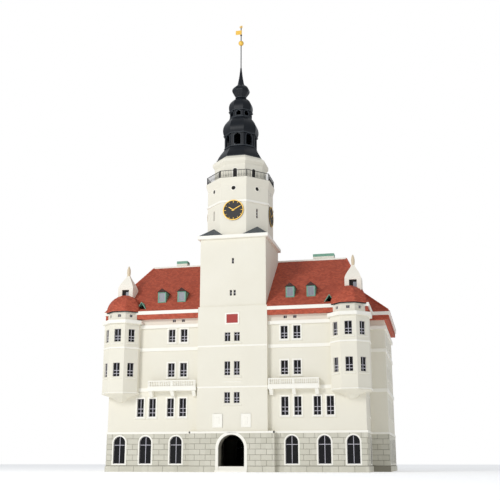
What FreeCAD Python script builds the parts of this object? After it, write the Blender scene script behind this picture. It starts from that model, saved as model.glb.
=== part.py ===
import FreeCAD, Part
import os
import re

# Town hall with a clock tower, a scale model at 1:2, in millimetres.
# X runs along the front, Y runs from the front wall into the building and Z is up.
# The origin lies on the ground, in the plane of the front wall, under the middle of the tower.

SIZES = (
    # plan of the main building
    ("front_half", 9470, "half the width of the front block"),
    ("setback_side", 1240, "how much further the rear block reaches to each side"),
    ("setback_depth", 3900, "depth of the front block before the rear block starts"),
    ("building_depth", 12885, "front wall to back wall"),
    ("wall", 350, "thickness of the main walls"),
    # levels
    ("ground_storey", 2810, "ground to the first floor"),
    ("first_storey", 3140, "first floor to the second"),
    ("second_storey", 2950, "second floor to the third"),
    ("third_storey", 1700, "third floor to the attic floor"),
    ("attic_storey", 435, "attic floor to the top of the walls"),
    ("skirt_high", 330, "tiled skirt on top of the walls"),
    ("gutter_high", 255, "boxed gutter on top of the skirt"),
    ("roof_rise", 4530, "gutter to the ridge"),
    ("floor_thick", 150, "thickness of a floor"),
    ("ground_floor_high", 350, "top of the ground floor"),
    # bands round the walls
    ("plinth_high", 410, "height of the plinth"),
    ("plinth_out", 65, "how far the plinth stands out"),
    ("string_out", 60, "how far a string course stands out"),
    ("string_low_high", 160, "height of the lowest string course"),
    ("string_high", 260, "height of the other string courses"),
    ("frieze_out", 130, "how far the frieze cornice stands out"),
    ("skirt_out", 350, "how far the tiled skirt stands out"),
    ("gutter_out", 450, "how far the gutter stands out"),
    # windows of the main walls
    ("arch_near", 4220, "middle of the arched window nearest the tower"),
    ("arch_middle", 6515, "middle of the second arched window"),
    ("arch_far", 8505, "middle of the arched window nearest the corner"),
    ("arch_wide", 900, "width of an arched window"),
    ("arch_sill", 570, "ground to the sill of an arched window"),
    ("arch_spring", 2040, "ground to the springing of an arched window"),
    ("window_wide", 520, "width of an upper window"),
    ("window_near", 3757, "middle of the upper window nearest the tower"),
    ("window_far", 4687, "middle of its neighbour"),
    ("bay_near", 6065, "middle of the first window of the outer pair"),
    ("bay_far", 6980, "middle of the second window of the outer pair"),
    ("first_sill", 1070, "first floor to its window sills"),
    ("first_window", 1300, "height of a first-floor window"),
    ("second_sill", 785, "second floor to its window sills"),
    ("second_window", 1005, "height of a second-floor window"),
    ("third_sill", 385, "third floor to its window sills"),
    ("third_window", 950, "height of a third-floor window"),
    ("light_near", 3840, "middle of the attic light nearest the tower"),
    ("light_far", 4550, "middle of its neighbour"),
    ("light_wide", 250, "width of an attic light"),
    ("light_sill", 175, "attic floor to the sill of an attic light"),
    ("light_high", 215, "height of an attic light"),
    ("side_column", 2700, "front wall to the windows in the front block's side wall"),
    ("side_margin", 1417.5, "rear block's corner to the nearest window in its side wall"),
    ("back_pitch", 2300, "spacing of the windows in the back wall"),
    ("surround_wide", 100, "width of the band round a window"),
    ("surround_out", 35, "how far the band round a window stands out"),
    ("glass", 20, "thickness of a sheet of glass"),
    ("glass_lap", 60, "how far the glass laps the wall round its windows"),
    # roof
    ("roof_inset", 200, "thickness of the roof, measured level"),
    ("front_ridge_half", 7900, "half the length of the front ridge"),
    ("front_ridge_deep", 5300, "front eaves to the front ridge"),
    ("rear_ridge_half", 6050, "half the length of the rear ridge"),
    ("dormer_near", 4150, "middle of the dormer nearest the tower"),
    ("dormer_far", 5700, "middle of the dormer nearest the corner"),
    ("dormer_wide", 640, "width of a dormer"),
    ("dormer_front", 425, "front wall to the face of a dormer"),
    ("dormer_high", 830, "height of a dormer's face"),
    ("dormer_low", 745, "eaves to the foot of a dormer's face"),
    ("dormer_rise", 290, "rise of a dormer's gabled roof"),
    ("dormer_eave", 60, "overhang of a dormer's roof"),
    ("dormer_wall", 60, "thickness of a dormer's walls"),
    ("gablet_x", 7100, "middle of the small gable at the eaves"),
    ("gablet_half", 520, "half the width of the small gable"),
    ("gablet_rise", 760, "rise of the small gable"),
    ("gablet_wall", 70, "thickness of the small gable's roof"),
    ("vent_left", 5600, "middle of the left ridge vent"),
    ("vent_left_long", 900, "length of the left ridge vent"),
    ("vent_right", 6090, "middle of the right ridge vent"),
    ("vent_right_long", 1670, "length of the right ridge vent"),
    ("vent_deep", 700, "depth of a ridge vent"),
    ("vent_rise", 560, "how far a ridge vent stands above the ridge"),
    # corner turrets
    ("turret_inset", 970, "corner of the front block to the turret's axis"),
    ("turret_back", 125, "front wall to the turret's axis"),
    ("turret_wide", 2725, "turret across its flats"),
    ("turret_wall", 250, "thickness of the turret's walls"),
    ("turret_foot", 5550, "ground to the foot of the turret's walls"),
    ("corbel_high", 600, "height of the corbel under the turret"),
    ("corbel_foot", 500, "corbel across its flats at its foot"),
    ("turret_shaft_top", 10650, "ground to the turret's cornice"),
    ("turret_cornice_high", 250, "height of the turret's cornice"),
    ("turret_cornice_out", 175, "how far the turret's cornice stands out"),
    ("turret_drum_wide", 2300, "turret's attic drum across its flats"),
    ("turret_drum_high", 675, "cornice to the dome"),
    ("turret_light_sill", 250, "cornice to the drum's small lights"),
    ("dome_wide", 2530, "dome across its flats at its eave"),
    ("dome_rise", 1375, "rise of the dome"),
    ("dome_shell", 110, "thickness of the dome"),
    # pavilions behind the turrets
    ("pavilion_inset", 720, "corner of the front block to the pavilion's axis"),
    ("pavilion_back", 1250, "front wall to the pavilion's axis"),
    ("pavilion_wide", 1200, "width of a pavilion"),
    ("pavilion_wall", 130, "thickness of a pavilion's walls"),
    ("pavilion_top", 13700, "ground to the foot of a pavilion's cap"),
    ("pavilion_cap", 1080, "rise of a pavilion's cap"),
    ("pavilion_door", 560, "width of a pavilion's opening"),
    ("pavilion_door_top", 13560, "ground to the head of a pavilion's opening"),
    ("finial_high", 770, "height of the finial on a pavilion"),
    ("finial_wide", 250, "width of the finial on a pavilion"),
    # balconies
    ("balcony_near", 2640, "tower side to which a balcony reaches"),
    ("balcony_far", 6300, "outer end of a balcony"),
    ("balcony_deep", 600, "depth of a balcony"),
    ("balcony_slab", 260, "thickness of a balcony's slab"),
    ("bracket_wide", 250, "width of a bracket"),
    ("bracket_high", 400, "height of a bracket"),
    ("bracket_end", 200, "slab's end to the middle of an end bracket"),
    ("rail_high", 480, "height of a balustrade"),
    ("rail_thick", 70, "thickness of a balustrade's rails and posts"),
    ("rail_inset", 30, "slab's edge to the balustrade"),
    # gate in the foot of the tower
    ("gate_half", 3050, "half the width of the rusticated block"),
    ("gate_front", 475, "how far the block stands in front of the wall"),
    ("door_half", 940, "half the width of the doorway"),
    ("door_spring", 1620, "ground to the springing of the doorway's arch"),
    ("door_band", 200, "width of the band round the doorway"),
    ("door_band_out", 60, "how far that band stands out"),
    ("threshold_high", 390, "height of the threshold"),
    ("step_out", 260, "how far the doorstep stands out"),
    ("step_high", 130, "height of the doorstep"),
    # square shaft of the tower
    ("tower_axis", 2180, "front wall to the tower's axis"),
    ("tower_wall", 350, "thickness of the tower's walls"),
    ("lower_half", 2585, "half the width of the lower shaft"),
    ("upper_half", 2495, "half the width of the upper shaft"),
    ("lower_top", 11750, "ground to the top of the lower shaft"),
    ("upper_rise", 5175, "lower shaft to the shaft's cornice"),
    ("shaft_cornice_high", 250, "height of the shaft's cornice"),
    ("shaft_cornice_out", 200, "how far the shaft's cornice stands out"),
    ("broach_rise", 775, "rise of the corner roofs"),
    ("pair_middle", 350, "tower's axis to the middle of a window of a pair"),
    ("pair_wide", 425, "width of a tower window"),
    ("tower_first_sill", 4750, "ground to the lowest pair of windows"),
    ("tower_first_high", 775, "height of the lowest pair"),
    ("tower_second_sill", 6725, "ground to the second pair"),
    ("tower_second_high", 1000, "height of the second pair"),
    ("tower_third_sill", 9175, "ground to the third pair"),
    ("tower_third_high", 650, "height of the third pair"),
    ("slit_wide", 175, "width of a slit window"),
    ("slit_high", 430, "height of a slit window"),
    ("slit_low", 12550, "ground to the lower slits"),
    ("slit_upper", 14975, "ground to the upper slit"),
    ("slit_middle", 140, "tower's axis to the middle of a lower slit"),
    ("plaque_near", 675, "tower's axis to a relief panel"),
    ("plaque_far", 1400, "tower's axis to the outer edge of a relief panel"),
    ("plaque_low", 3050, "ground to the relief panels"),
    ("plaque_high", 950, "height of a relief panel"),
    ("panel_out", 40, "how far a panel stands out"),
    ("red_half", 425, "half the width of the red panel"),
    ("red_low", 10500, "ground to the red panel"),
    ("red_high", 650, "height of the red panel"),
    ("red_band", 110, "width of the frame round the red panel"),
    # octagon with the clocks
    ("octagon_wide", 4790, "octagon across its flats"),
    ("octagon_wall", 300, "thickness of the octagon's walls"),
    ("octagon_rise", 3975, "shaft's cornice to the gallery"),
    ("octagon_string", 2625, "shaft's cornice to the octagon's string course"),
    ("octagon_string_high", 150, "height of that string course"),
    ("octagon_slit_low", 1425, "shaft's cornice to the octagon's slits"),
    ("octagon_slit_high", 750, "height of the octagon's slits"),
    ("oculus_up", 3755, "shaft's cornice to the middle of the round windows"),
    ("oculus_radius", 160, "radius of the round windows"),
    ("clock_up", 1975, "shaft's cornice to the middle of the clocks"),
    ("clock_radius", 800, "radius of a clock with its rim"),
    ("dial_radius", 715, "radius of a dial"),
    ("dial_out", 40, "how far a dial stands out"),
    ("rim_out", 75, "how far the rim of a clock stands out"),
    ("hand_gap", 8, "clearance in front of and between the hands"),
    ("hand_thick", 15, "thickness of a hand"),
    ("hand_wide", 50, "width of a hand"),
    ("minute_long", 600, "length of the minute hand"),
    ("hour_long", 430, "length of the hour hand"),
    ("hub_radius", 60, "radius of a hand's boss"),
    ("arbor_radius", 22, "radius of the pin that carries the hands"),
    ("arbor_play", 0.5, "radial clearance of the hands on the pin"),
    # gallery and the drum behind it
    ("gallery_wide", 5050, "gallery across its flats"),
    ("gallery_high", 615, "height of the gallery's corbel and floor"),
    ("gallery_floor", 165, "thickness of the gallery's floor"),
    ("railing_wide", 4950, "railing across its flats"),
    ("railing_high", 590, "height of the railing"),
    ("railing_thick", 36, "thickness of the railing"),
    ("drum_wide", 3850, "drum across its flats"),
    ("drum_wall", 250, "thickness of the drum's walls"),
    ("drum_rise", 1285, "gallery to the drum's cornice"),
    ("drum_door_wide", 325, "width of a drum door"),
    ("drum_door_spring", 770, "gallery to the springing of a drum door"),
    ("drum_cornice_wide", 4150, "drum's cornice across its flats"),
    ("drum_cornice_high", 450, "height of the drum's cornice"),
    ("drum_slope_high", 300, "height of the slope on the drum's cornice"),
    # spire
    ("skirt_wide", 3500, "foot of the spire across its flats"),
    ("skirt_rise", 1030, "height of the spire's skirt"),
    ("shell", 90, "thickness of the spire's shells"),
    ("lantern_one_wide", 2425, "lower lantern across its flats"),
    ("lantern_one_rise", 1145, "height of the lower lantern"),
    ("lantern_one_door", 550, "width of the lower lantern's openings"),
    ("lantern_one_spring", 820, "foot of the lower lantern to its springings"),
    ("lantern_sill", 120, "foot of a lantern to its sills"),
    ("lantern_wall", 130, "thickness of a lantern's walls"),
    ("bell_one_wide", 2690, "lower bell roof across its flats"),
    ("bell_one_rise", 1505, "height of the lower bell roof"),
    ("lantern_two_wide", 1665, "upper lantern across its flats"),
    ("lantern_two_rise", 600, "height of the upper lantern"),
    ("lantern_two_door", 385, "width of the upper lantern's openings"),
    ("lantern_two_spring", 340, "foot of the upper lantern to its springings"),
    ("bell_two_wide", 1820, "upper bell roof across its flats"),
    ("bell_two_rise", 1295, "height of the upper bell roof"),
    ("neck_wide", 750, "neck under the onion across its flats"),
    ("onion_wide", 1340, "onion across its flats"),
    ("onion_rise", 1195, "height of the onion"),
    ("spike_wide", 520, "foot of the spike across its flats"),
    ("spike_rise", 1530, "height of the spike"),
    ("spike_tip", 110, "top of the spike across its flats"),
    # finials
    ("rod_radius", 40, "radius of the rod on the spire"),
    ("rod_top", 35760, "ground to the top of the rod"),
    ("ball_up", 34350, "ground to the middle of the gilt ball"),
    ("ball_radius", 215, "radius of the gilt ball"),
    ("star_up", 35850, "ground to the middle of the star"),
    ("star_radius", 150, "reach of the star"),
    ("star_point", 34, "width of a ray of the star at its root"),
    ("vane_low", 35120, "ground to the foot of the vane"),
    ("vane_high", 420, "height of the vane's flag"),
    ("vane_long", 460, "length of the vane's flag"),
    ("vane_thick", 20, "thickness of the vane's flag"),
    ("vane_play", 1, "radial clearance of the vane on the rod"),
    ("sleeve_wall", 18, "thickness of the vane's sleeve"),
    ("collar_radius", 75, "radius of the collar under the vane"),
    ("collar_high", 60, "height of the collar under the vane"),
    ("collar_gap", 0.3, "running gap of the vane on its collar"),
)
NAMES = [name for name, value, meaning in SIZES]

doc = FreeCAD.newDocument("TownHall")
sheet = doc.addObject("Spreadsheet::Sheet", "Sizes")
for row, (name, value, meaning) in enumerate(SIZES, start=1):
    sheet.set(f"A{row}", name)
    sheet.set(f"B{row}", str(value))
    sheet.set(f"C{row}", meaning)
    sheet.setAlias(f"B{row}", name)
doc.recompute()


def total(*lengths):
    """A formula that adds up lengths."""
    return "(" + " + ".join(lengths) + ")"


# Levels of the main building, each the foot of what stands on it
FIRST = total("ground_storey")
SECOND = total(FIRST, "first_storey")
THIRD = total(SECOND, "second_storey")
ATTIC = total(THIRD, "third_storey")
WALL_TOP = total(ATTIC, "attic_storey")
SKIRT_TOP = total(WALL_TOP, "skirt_high")
EAVES = total(SKIRT_TOP, "gutter_high")
RIDGE = total(EAVES, "roof_rise")
# Levels of the tower
SHAFT_TOP = total("lower_top", "upper_rise")
OCTAGON = total(SHAFT_TOP, "shaft_cornice_high")
GALLERY = total(OCTAGON, "octagon_rise", "gallery_high")
DRUM_CORNICE = total(GALLERY, "drum_rise")
DRUM_SLOPE = total(DRUM_CORNICE, "drum_cornice_high")
SPIRE = total(DRUM_SLOPE, "drum_slope_high")
LANTERN_ONE = total(SPIRE, "skirt_rise")
BELL_ONE = total(LANTERN_ONE, "lantern_one_rise")
LANTERN_TWO = total(BELL_ONE, "bell_one_rise")
BELL_TWO = total(LANTERN_TWO, "lantern_two_rise")
ONION = total(BELL_TWO, "bell_two_rise")
SPIKE = total(ONION, "onion_rise")
SPIKE_TOP = total(SPIKE, "spike_rise")
# Levels of a turret
TURRET_DRUM = total("turret_shaft_top", "turret_cornice_high")
DOME = total(TURRET_DRUM, "turret_drum_high")
# Places in plan
REAR_HALF = total("front_half", "setback_side")
TURRET_X = "(front_half - turret_inset)"
PAVILION_X = "(front_half - pavilion_inset)"
TOWER_BACK = "(tower_axis + lower_half)"
THROUGH = 200   # how far a cutting tool runs past what it cuts
FACETS = [45 * step for step in range(8)]
UP = FreeCAD.Vector(0, 0, 1)


# ---- building blocks ----

def formula(text):
    """Turn the bare names in a formula into references to the sheet's cells."""
    return re.sub(r"[a-z_]+", lambda word: "Sizes." + word[0] if word[0] in NAMES else word[0], str(text))


def move(item, x, y, z="0", turn=0):
    """Bind an object's place to formulas and turn it about the vertical."""
    item.Placement = FreeCAD.Placement(FreeCAD.Vector(), FreeCAD.Rotation(UP, turn))
    for axis, place in zip("xyz", (x, y, z)):
        item.setExpression("Placement.Base." + axis, formula(place))
    return item


def box(name, xs, ys, zs):
    """A box between two places along each axis."""
    item = doc.addObject("Part::Box", name)
    for side, axis, (low, high) in (("Length", "x", xs), ("Width", "y", ys), ("Height", "z", zs)):
        item.setExpression("Placement.Base." + axis, formula(low))
        item.setExpression(side, formula(f"({high}) - ({low})"))
    return item


def cylinder(name, radius, along, start, long):
    """A cylinder that runs from a start point along x, y or z."""
    item = doc.addObject("Part::Cylinder", name)
    item.setExpression("Radius", formula(radius))
    item.setExpression("Height", formula(long))
    spins = {"x": (FreeCAD.Vector(0, 1, 0), 90), "y": (FreeCAD.Vector(1, 0, 0), -90), "z": (UP, 0)}
    move(item, *start)
    item.Placement = FreeCAD.Placement(item.Placement.Base, FreeCAD.Rotation(*spins[along]))
    return item


def hip(name, xs, ys, zs, top_xs, top_ys):
    """A solid that narrows from a rectangle at its foot to another rectangle, or a ridge, on top."""
    item = doc.addObject("Part::Wedge", name)
    item.Placement = FreeCAD.Placement(FreeCAD.Vector(), FreeCAD.Rotation(FreeCAD.Vector(1, 0, 0), 90))
    sides = {"Xmin": xs[0], "Xmax": xs[1], "Ymin": zs[0], "Ymax": zs[1],
             "Zmin": f"-({ys[1]})", "Zmax": f"-({ys[0]})", "X2min": top_xs[0], "X2max": top_xs[1],
             "Z2min": f"-({top_ys[1]})", "Z2max": f"-({top_ys[0]})"}
    for side, place in sides.items():
        item.setExpression(side, formula(place))
    return item


def octagon(name, wide, zs, x="0", y="tower_axis"):
    """An upright octagonal prism, one flat to the front, given by its width across the flats."""
    item = doc.addObject("Part::Prism", name)
    item.Polygon = 8
    item.setExpression("Circumradius", formula(f"({wide}) / 2 / cos(22.5 deg)"))
    item.setExpression("Height", formula(f"({zs[1]}) - ({zs[0]})"))
    return move(item, x, y, zs[0], 22.5)


def polygon(name, sides, wide, x, y, z):
    """The outline of a level regular polygon, one flat to the front."""
    item = doc.addObject("Part::RegularPolygon", name)
    item.Polygon = sides
    item.setExpression("Circumradius", formula(f"({wide}) / 2 / cos({180 / sides} deg)"))
    return move(item, x, y, z, 180 / sides)


def loft(name, sections, x="0", y="tower_axis", smooth=True, sides=8):
    """A solid through level polygons, each given as its height and its width across the flats."""
    item = doc.addObject("Part::Loft", name)
    item.Sections = [polygon(f"{name}_section", sides, wide, x, y, z) for z, wide in sections]
    item.Solid = True
    item.Ruled = not smooth
    return item


def fuse(name, items):
    """One solid joined from several."""
    item = doc.addObject("Part::MultiFuse", name)
    item.Shapes = items
    return item


def group(name, items):
    """Several solids kept apart in one object."""
    item = doc.addObject("Part::Compound", name)
    item.Links = items
    return item


def cut(name, base, tools):
    """A solid with others taken out of it."""
    item = doc.addObject("Part::Cut", name)
    item.Base = base
    item.Tool = tools[0] if len(tools) == 1 else fuse(f"{name}_tools", tools)
    return item


def turned(name, source, angle, x="0", y="tower_axis"):
    """A copy of a solid modelled about the origin, turned and set on an axis."""
    return move(group(name, [source]), x, y, "0", angle)


def mirrored(name, source):
    """A copy on the other side of the building."""
    item = doc.addObject("Part::Mirroring", name)
    item.Source = source
    item.Normal = FreeCAD.Vector(1, 0, 0)
    return item


def pair(name, source):
    """A solid and its copy on the other side."""
    return group(name, [source, mirrored(f"{name}_left", source)])


def arch(name, wide, spring, foot, along, middle, reach):
    """A round-headed block that runs along x or y, to cut or to trim an arched opening."""
    low, high = f"{middle} - ({wide}) / 2", f"{middle} + ({wide}) / 2"
    if along == "y":
        body = box(f"{name}_body", (low, high), reach, (foot, spring))
        start = (middle, reach[0], spring)
    else:
        body = box(f"{name}_body", reach, (low, high), (foot, spring))
        start = (reach[0], middle, spring)
    head = cylinder(f"{name}_head", f"({wide}) / 2", along, start, f"({reach[1]}) - ({reach[0]})")
    return fuse(name, [body, head])


def window(name, wide, zs, along, middle, reach):
    """A square-headed block that runs along x or y."""
    across = (f"{middle} - ({wide}) / 2", f"{middle} + ({wide}) / 2")
    return box(name, across, reach, zs) if along == "y" else box(name, reach, across, zs)


# ---- window rows, shared by the walls, the glass and the surrounds ----

def row(level, sill, high):
    """Foot and head of a row of windows."""
    return (f"{level} + {sill}", f"{level} + {sill} + {high}")


ROWS = {"first": row(FIRST, "first_sill", "first_window"),
        "second": row(SECOND, "second_sill", "second_window"),
        "third": row(THIRD, "third_sill", "third_window")}
LIGHTS = row(ATTIC, "light_sill", "light_high")
ARCHES = ("arch_near", "arch_middle", "arch_far")
INNER = ("window_near", "window_far")
ATTIC_LIGHTS = ("light_near", "light_far")
OUTER = ("bay_near", "bay_far")
FRONT_COLUMNS = {"first": INNER + OUTER, "second": INNER, "third": INNER}
SIDE_MIDDLE = "(setback_depth + building_depth) / 2"
SIDE_PITCH = "((building_depth - setback_depth - 2 * side_margin) / 3)"
SIDE_COLUMNS = [f"({SIDE_MIDDLE} + {SIDE_PITCH} * {step})" for step in (-1.5, -0.5, 0.5, 1.5)]
BACK_COLUMNS = [f"(back_pitch * {step})" for step in range(-4, 5)]


def openings(tag, columns, arches, along, reach, grow="0"):
    """Every window block of one wall: arches on the ground floor, square heads above."""
    blocks = []
    for middle in arches:
        foot = f"arch_sill - {grow}"
        blocks.append(arch(f"{tag}_arch", f"arch_wide + 2 * {grow}", "arch_spring", foot,
                           along, middle, reach))
    for storey, (foot, head) in ROWS.items():
        for middle in columns[storey]:
            zs = (f"{foot} - {grow}", f"{head} + {grow}")
            blocks.append(window(f"{tag}_{storey}", f"window_wide + 2 * {grow}", zs, along, middle, reach))
    return blocks


def every_storey(columns):
    """The same columns of windows on each storey."""
    return {storey: columns for storey in ROWS}


def turret_block(name, grow="0"):
    """The space that a right-hand turret fills from its foot to its dome."""
    parts = [octagon(f"{name}_shaft", "turret_wide", ("turret_foot", "turret_shaft_top"),
                     TURRET_X, "turret_back"),
             octagon(f"{name}_cornice", "turret_wide + 2 * turret_cornice_out",
                     ("turret_shaft_top", TURRET_DRUM), TURRET_X, "turret_back"),
             octagon(f"{name}_drum", "turret_drum_wide", (TURRET_DRUM, DOME), TURRET_X, "turret_back")]
    return fuse(name, parts)


def inside_block(name, zs):
    """The room inside the front block's walls, which a turret opens into."""
    return box(name, ("0", "front_half - wall"), ("wall", "building_depth"), zs)


# ---- main walls ----

def front_walls():
    """The front wall on both sides of the tower, with its windows cut through."""
    gate = box("front_wall_gate", ("0", "gate_half"), ("-wall", "2 * wall"), ("0", FIRST))
    slab = box("front_wall_slab", ("lower_half", "front_half"), ("0", "wall"), ("0", WALL_TOP))
    reach = (f"-{THROUGH}", f"wall + {THROUGH}")
    holes = openings("front_hole", FRONT_COLUMNS, ARCHES, "y", reach)
    lights = [window("front_light", "light_wide", LIGHTS, "y", middle, reach)
              for middle in ATTIC_LIGHTS]
    taken = [gate, turret_block("front_turret")] + holes + lights
    return pair("front_walls", cut("front_wall_right", slab, taken))


def side_walls():
    """The side walls of the front block and of the rear block."""
    reach = (f"front_half - wall - {THROUGH}", f"front_half + {THROUGH}")
    slab = box("side_wall_slab", ("front_half - wall", "front_half"), ("wall", "setback_depth"),
               ("0", WALL_TOP))
    holes = openings("side_hole", every_storey(("side_column",)), ("side_column",), "x", reach)
    front = cut("side_wall_front", slab, [turret_block("side_turret")] + holes)
    reach = (f"{REAR_HALF} - wall - {THROUGH}", f"{REAR_HALF} + {THROUGH}")
    slab = box("rear_wall_slab", (f"{REAR_HALF} - wall", REAR_HALF),
               ("setback_depth + wall", "building_depth - wall"), ("0", WALL_TOP))
    holes = openings("rear_hole", every_storey(SIDE_COLUMNS), SIDE_COLUMNS, "x", reach)
    rear = cut("side_wall_rear", slab, holes)
    return pair("side_walls", group("side_walls_right", [front, rear]))


def setback_walls():
    """The blank walls where the rear block stands out past the front block."""
    slab = box("setback_wall_right", ("front_half - wall", REAR_HALF),
               ("setback_depth", "setback_depth + wall"), ("0", WALL_TOP))
    return pair("setback_walls", slab)


def back_wall():
    """The back wall, with a plain row of windows on every storey."""
    slab = box("back_wall_slab", (f"-{REAR_HALF}", REAR_HALF),
               ("building_depth - wall", "building_depth"), ("0", WALL_TOP))
    reach = (f"building_depth - wall - {THROUGH}", f"building_depth + {THROUGH}")
    holes = openings("back_hole", every_storey(BACK_COLUMNS), BACK_COLUMNS, "y", reach)
    return cut("back_wall", slab, holes)


# ---- floors ----

TURRET_FLOORS = (2, 3)   # the floors that have a turret room at their end

def floor_levels():
    """Foot and top of every floor of the main building."""
    upper = [(f"{level} - floor_thick", level) for level in (FIRST, SECOND, THIRD, ATTIC)]
    return [("0", "ground_floor_high")] + upper


def wing_floors():
    """The floors of the front block beside the tower, and those of the turret rooms."""
    floors = []
    for step, (low, high) in enumerate(floor_levels()):
        inner = "gate_half" if step == 0 else "lower_half"
        floors.append(box(f"wing_floor_{step}", (inner, "front_half - wall"), ("wall", "setback_depth"),
                          (low, high)))
        if step in TURRET_FLOORS:
            room = octagon(f"turret_floor_{step}", "turret_wide - 2 * turret_wall", (low, high),
                           TURRET_X, "turret_back")
            stop = inside_block(f"turret_floor_stop_{step}", (f"{low} - 1", f"{high} + 1"))
            floors.append(cut(f"turret_floor_cut_{step}", room, [stop]))
    return pair("wing_floors", group("wing_floors_right", floors))


def rear_floors():
    """The floors of the rear block, to the sides of the tower."""
    floors = [box(f"rear_floor_{step}", ("lower_half", f"{REAR_HALF} - wall"),
                  ("setback_depth + wall", "building_depth - wall"), zs)
              for step, zs in enumerate(floor_levels())]
    return pair("rear_floors", group("rear_floors_right", floors))


def middle_floors():
    """The floors behind the tower, and the strips between the front and rear floors."""
    floors = []
    for step, zs in enumerate(floor_levels()):
        inner = "gate_half" if step == 0 else "lower_half"
        strips = [box(f"floor_strip_{side}_{step}", ends, ("setback_depth", "setback_depth + wall"), zs)
                  for side, ends in (("right", (inner, "front_half - wall")),
                                     ("left", ("wall - front_half", f"-{inner}")))]
        middle = box(f"middle_floor_{step}", ("-lower_half", "lower_half"),
                     (TOWER_BACK, "building_depth - wall"), zs)
        floors += [middle] + strips
    return group("middle_floors", floors)


# ---- bands round the walls ----

def plan_block(name, grow, zs):
    """The plan of the whole building as a block, grown outwards."""
    front = box(f"{name}_front", (f"-front_half - {grow}", f"front_half + {grow}"),
                (f"-({grow})", "building_depth"), zs)
    rear = box(f"{name}_rear", (f"-{REAR_HALF} - {grow}", f"{REAR_HALF} + {grow}"),
               (f"setback_depth - {grow}", f"building_depth + {grow}"), zs)
    return fuse(name, [front, rear])


def band(name, grow, inner, zs, clear):
    """A band round the building, from its inner line to its outer face, less what it runs into."""
    past = (f"{zs[0]} - {THROUGH}", f"{zs[1]} + {THROUGH}")
    hole = plan_block(f"{name}_hole", inner, past)
    return cut(name, plan_block(f"{name}_block", grow, zs), [hole] + clear(name))


def clear_gate(name):
    """What a band leaves free at the foot of the tower."""
    return [box(f"{name}_gate", ("-gate_half", "gate_half"), ("-2 * gate_front", TOWER_BACK), ("-1", FIRST))]


def clear_tower(name):
    """What a band leaves free at the tower and the turrets."""
    tower = box(f"{name}_tower", ("-lower_half", "lower_half"), ("-2 * gate_front", TOWER_BACK),
                (FIRST, EAVES))
    turret = turret_block(f"{name}_turret")
    dome = loft(f"{name}_dome", dome_sections("dome_wide", DOME), TURRET_X, "turret_back")
    sides = [turret, mirrored(f"{name}_turret_left", turret), dome, mirrored(f"{name}_dome_left", dome)]
    return [tower] + sides


def plinth():
    """The stone plinth at the foot of the walls."""
    return band("plinth", "plinth_out", "0", ("0", "plinth_high"), clear_gate)


def string_courses():
    """The string courses at the floors and the frieze cornice under the attic lights."""
    low = band("string_first", "string_out", "0", (f"{FIRST} - string_low_high", FIRST), clear_gate)
    second = band("string_second", "string_out", "0", (f"{SECOND} - string_high", SECOND), clear_tower)
    third = band("string_third", "string_out", "0", (f"{THIRD} - string_high", THIRD), clear_tower)
    frieze = band("frieze", "frieze_out", "0", (f"{ATTIC} - string_high", ATTIC), clear_tower)
    return group("string_courses", [low, second, third, frieze, octagon_string()])


def octagon_string():
    """The string course of the octagon, which stops at the clocks."""
    zs = (f"{OCTAGON} + octagon_string", f"{OCTAGON} + octagon_string + octagon_string_high")
    ring = octagon("octagon_string_block", "octagon_wide + 2 * string_out", zs)
    hole = octagon("octagon_string_hole", "octagon_wide", (f"{zs[0]} - 1", f"{zs[1]} + 1"))
    clock = cylinder("octagon_string_clock", "clock_radius", "y",
                     ("0", "-octagon_wide", f"{OCTAGON} + clock_up"), "octagon_wide")
    clocks = [turned("octagon_string_stop", clock, angle) for angle in FACETS[::2]]
    return cut("octagon_string_ring", ring, [hole] + clocks)


def eaves_skirt():
    """The narrow tiled skirt on the wall head."""
    return band("eaves_skirt", "skirt_out", "-wall", (WALL_TOP, SKIRT_TOP), clear_tower)


def eaves_gutter():
    """The boxed gutter under the roof."""
    return band("eaves_gutter", "gutter_out", "-wall", (SKIRT_TOP, EAVES), clear_tower)


# ---- roofs ----

def roof_block(name, inset):
    """Front and rear hipped roofs as one solid, drawn in by a level inset on every side."""
    front_ridge = "(front_ridge_deep - gutter_out)"
    drop = f"({inset}) * roof_rise / front_ridge_deep"
    front = hip(f"{name}_front", (f"{inset} - front_half - gutter_out", f"front_half + gutter_out - {inset}"),
                (f"{inset} - gutter_out", f"2 * front_ridge_deep - gutter_out - {inset}"),
                (EAVES, f"{RIDGE} - {drop}"),
                (f"{inset} - front_ridge_half", f"front_ridge_half - {inset}"), (front_ridge, front_ridge))
    rear_middle = "(setback_depth + building_depth) / 2"
    rear_half_deep = "((building_depth - setback_depth) / 2 + gutter_out)"
    rear_drop = f"({inset}) * roof_rise / {rear_half_deep}"
    rear = hip(f"{name}_rear", (f"{inset} - {REAR_HALF} - gutter_out", f"{REAR_HALF} + gutter_out - {inset}"),
               (f"setback_depth - gutter_out + {inset}", f"building_depth + gutter_out - {inset}"),
               (EAVES, f"{RIDGE} - {rear_drop}"),
               (f"{inset} - rear_ridge_half", f"rear_ridge_half - {inset}"), (rear_middle, rear_middle))
    return fuse(name, [front, rear])


def dormer_body(name, middle, grow="0"):
    """The block of one dormer, from its face back into the roof."""
    return box(name, (f"{middle} - dormer_wide / 2 + {grow}", f"{middle} + dormer_wide / 2 - {grow}"),
               (f"dormer_front + {grow}", "dormer_front + front_ridge_deep / 2"),
               (f"{EAVES} + dormer_low", f"{EAVES} + dormer_low + dormer_high"))


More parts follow.
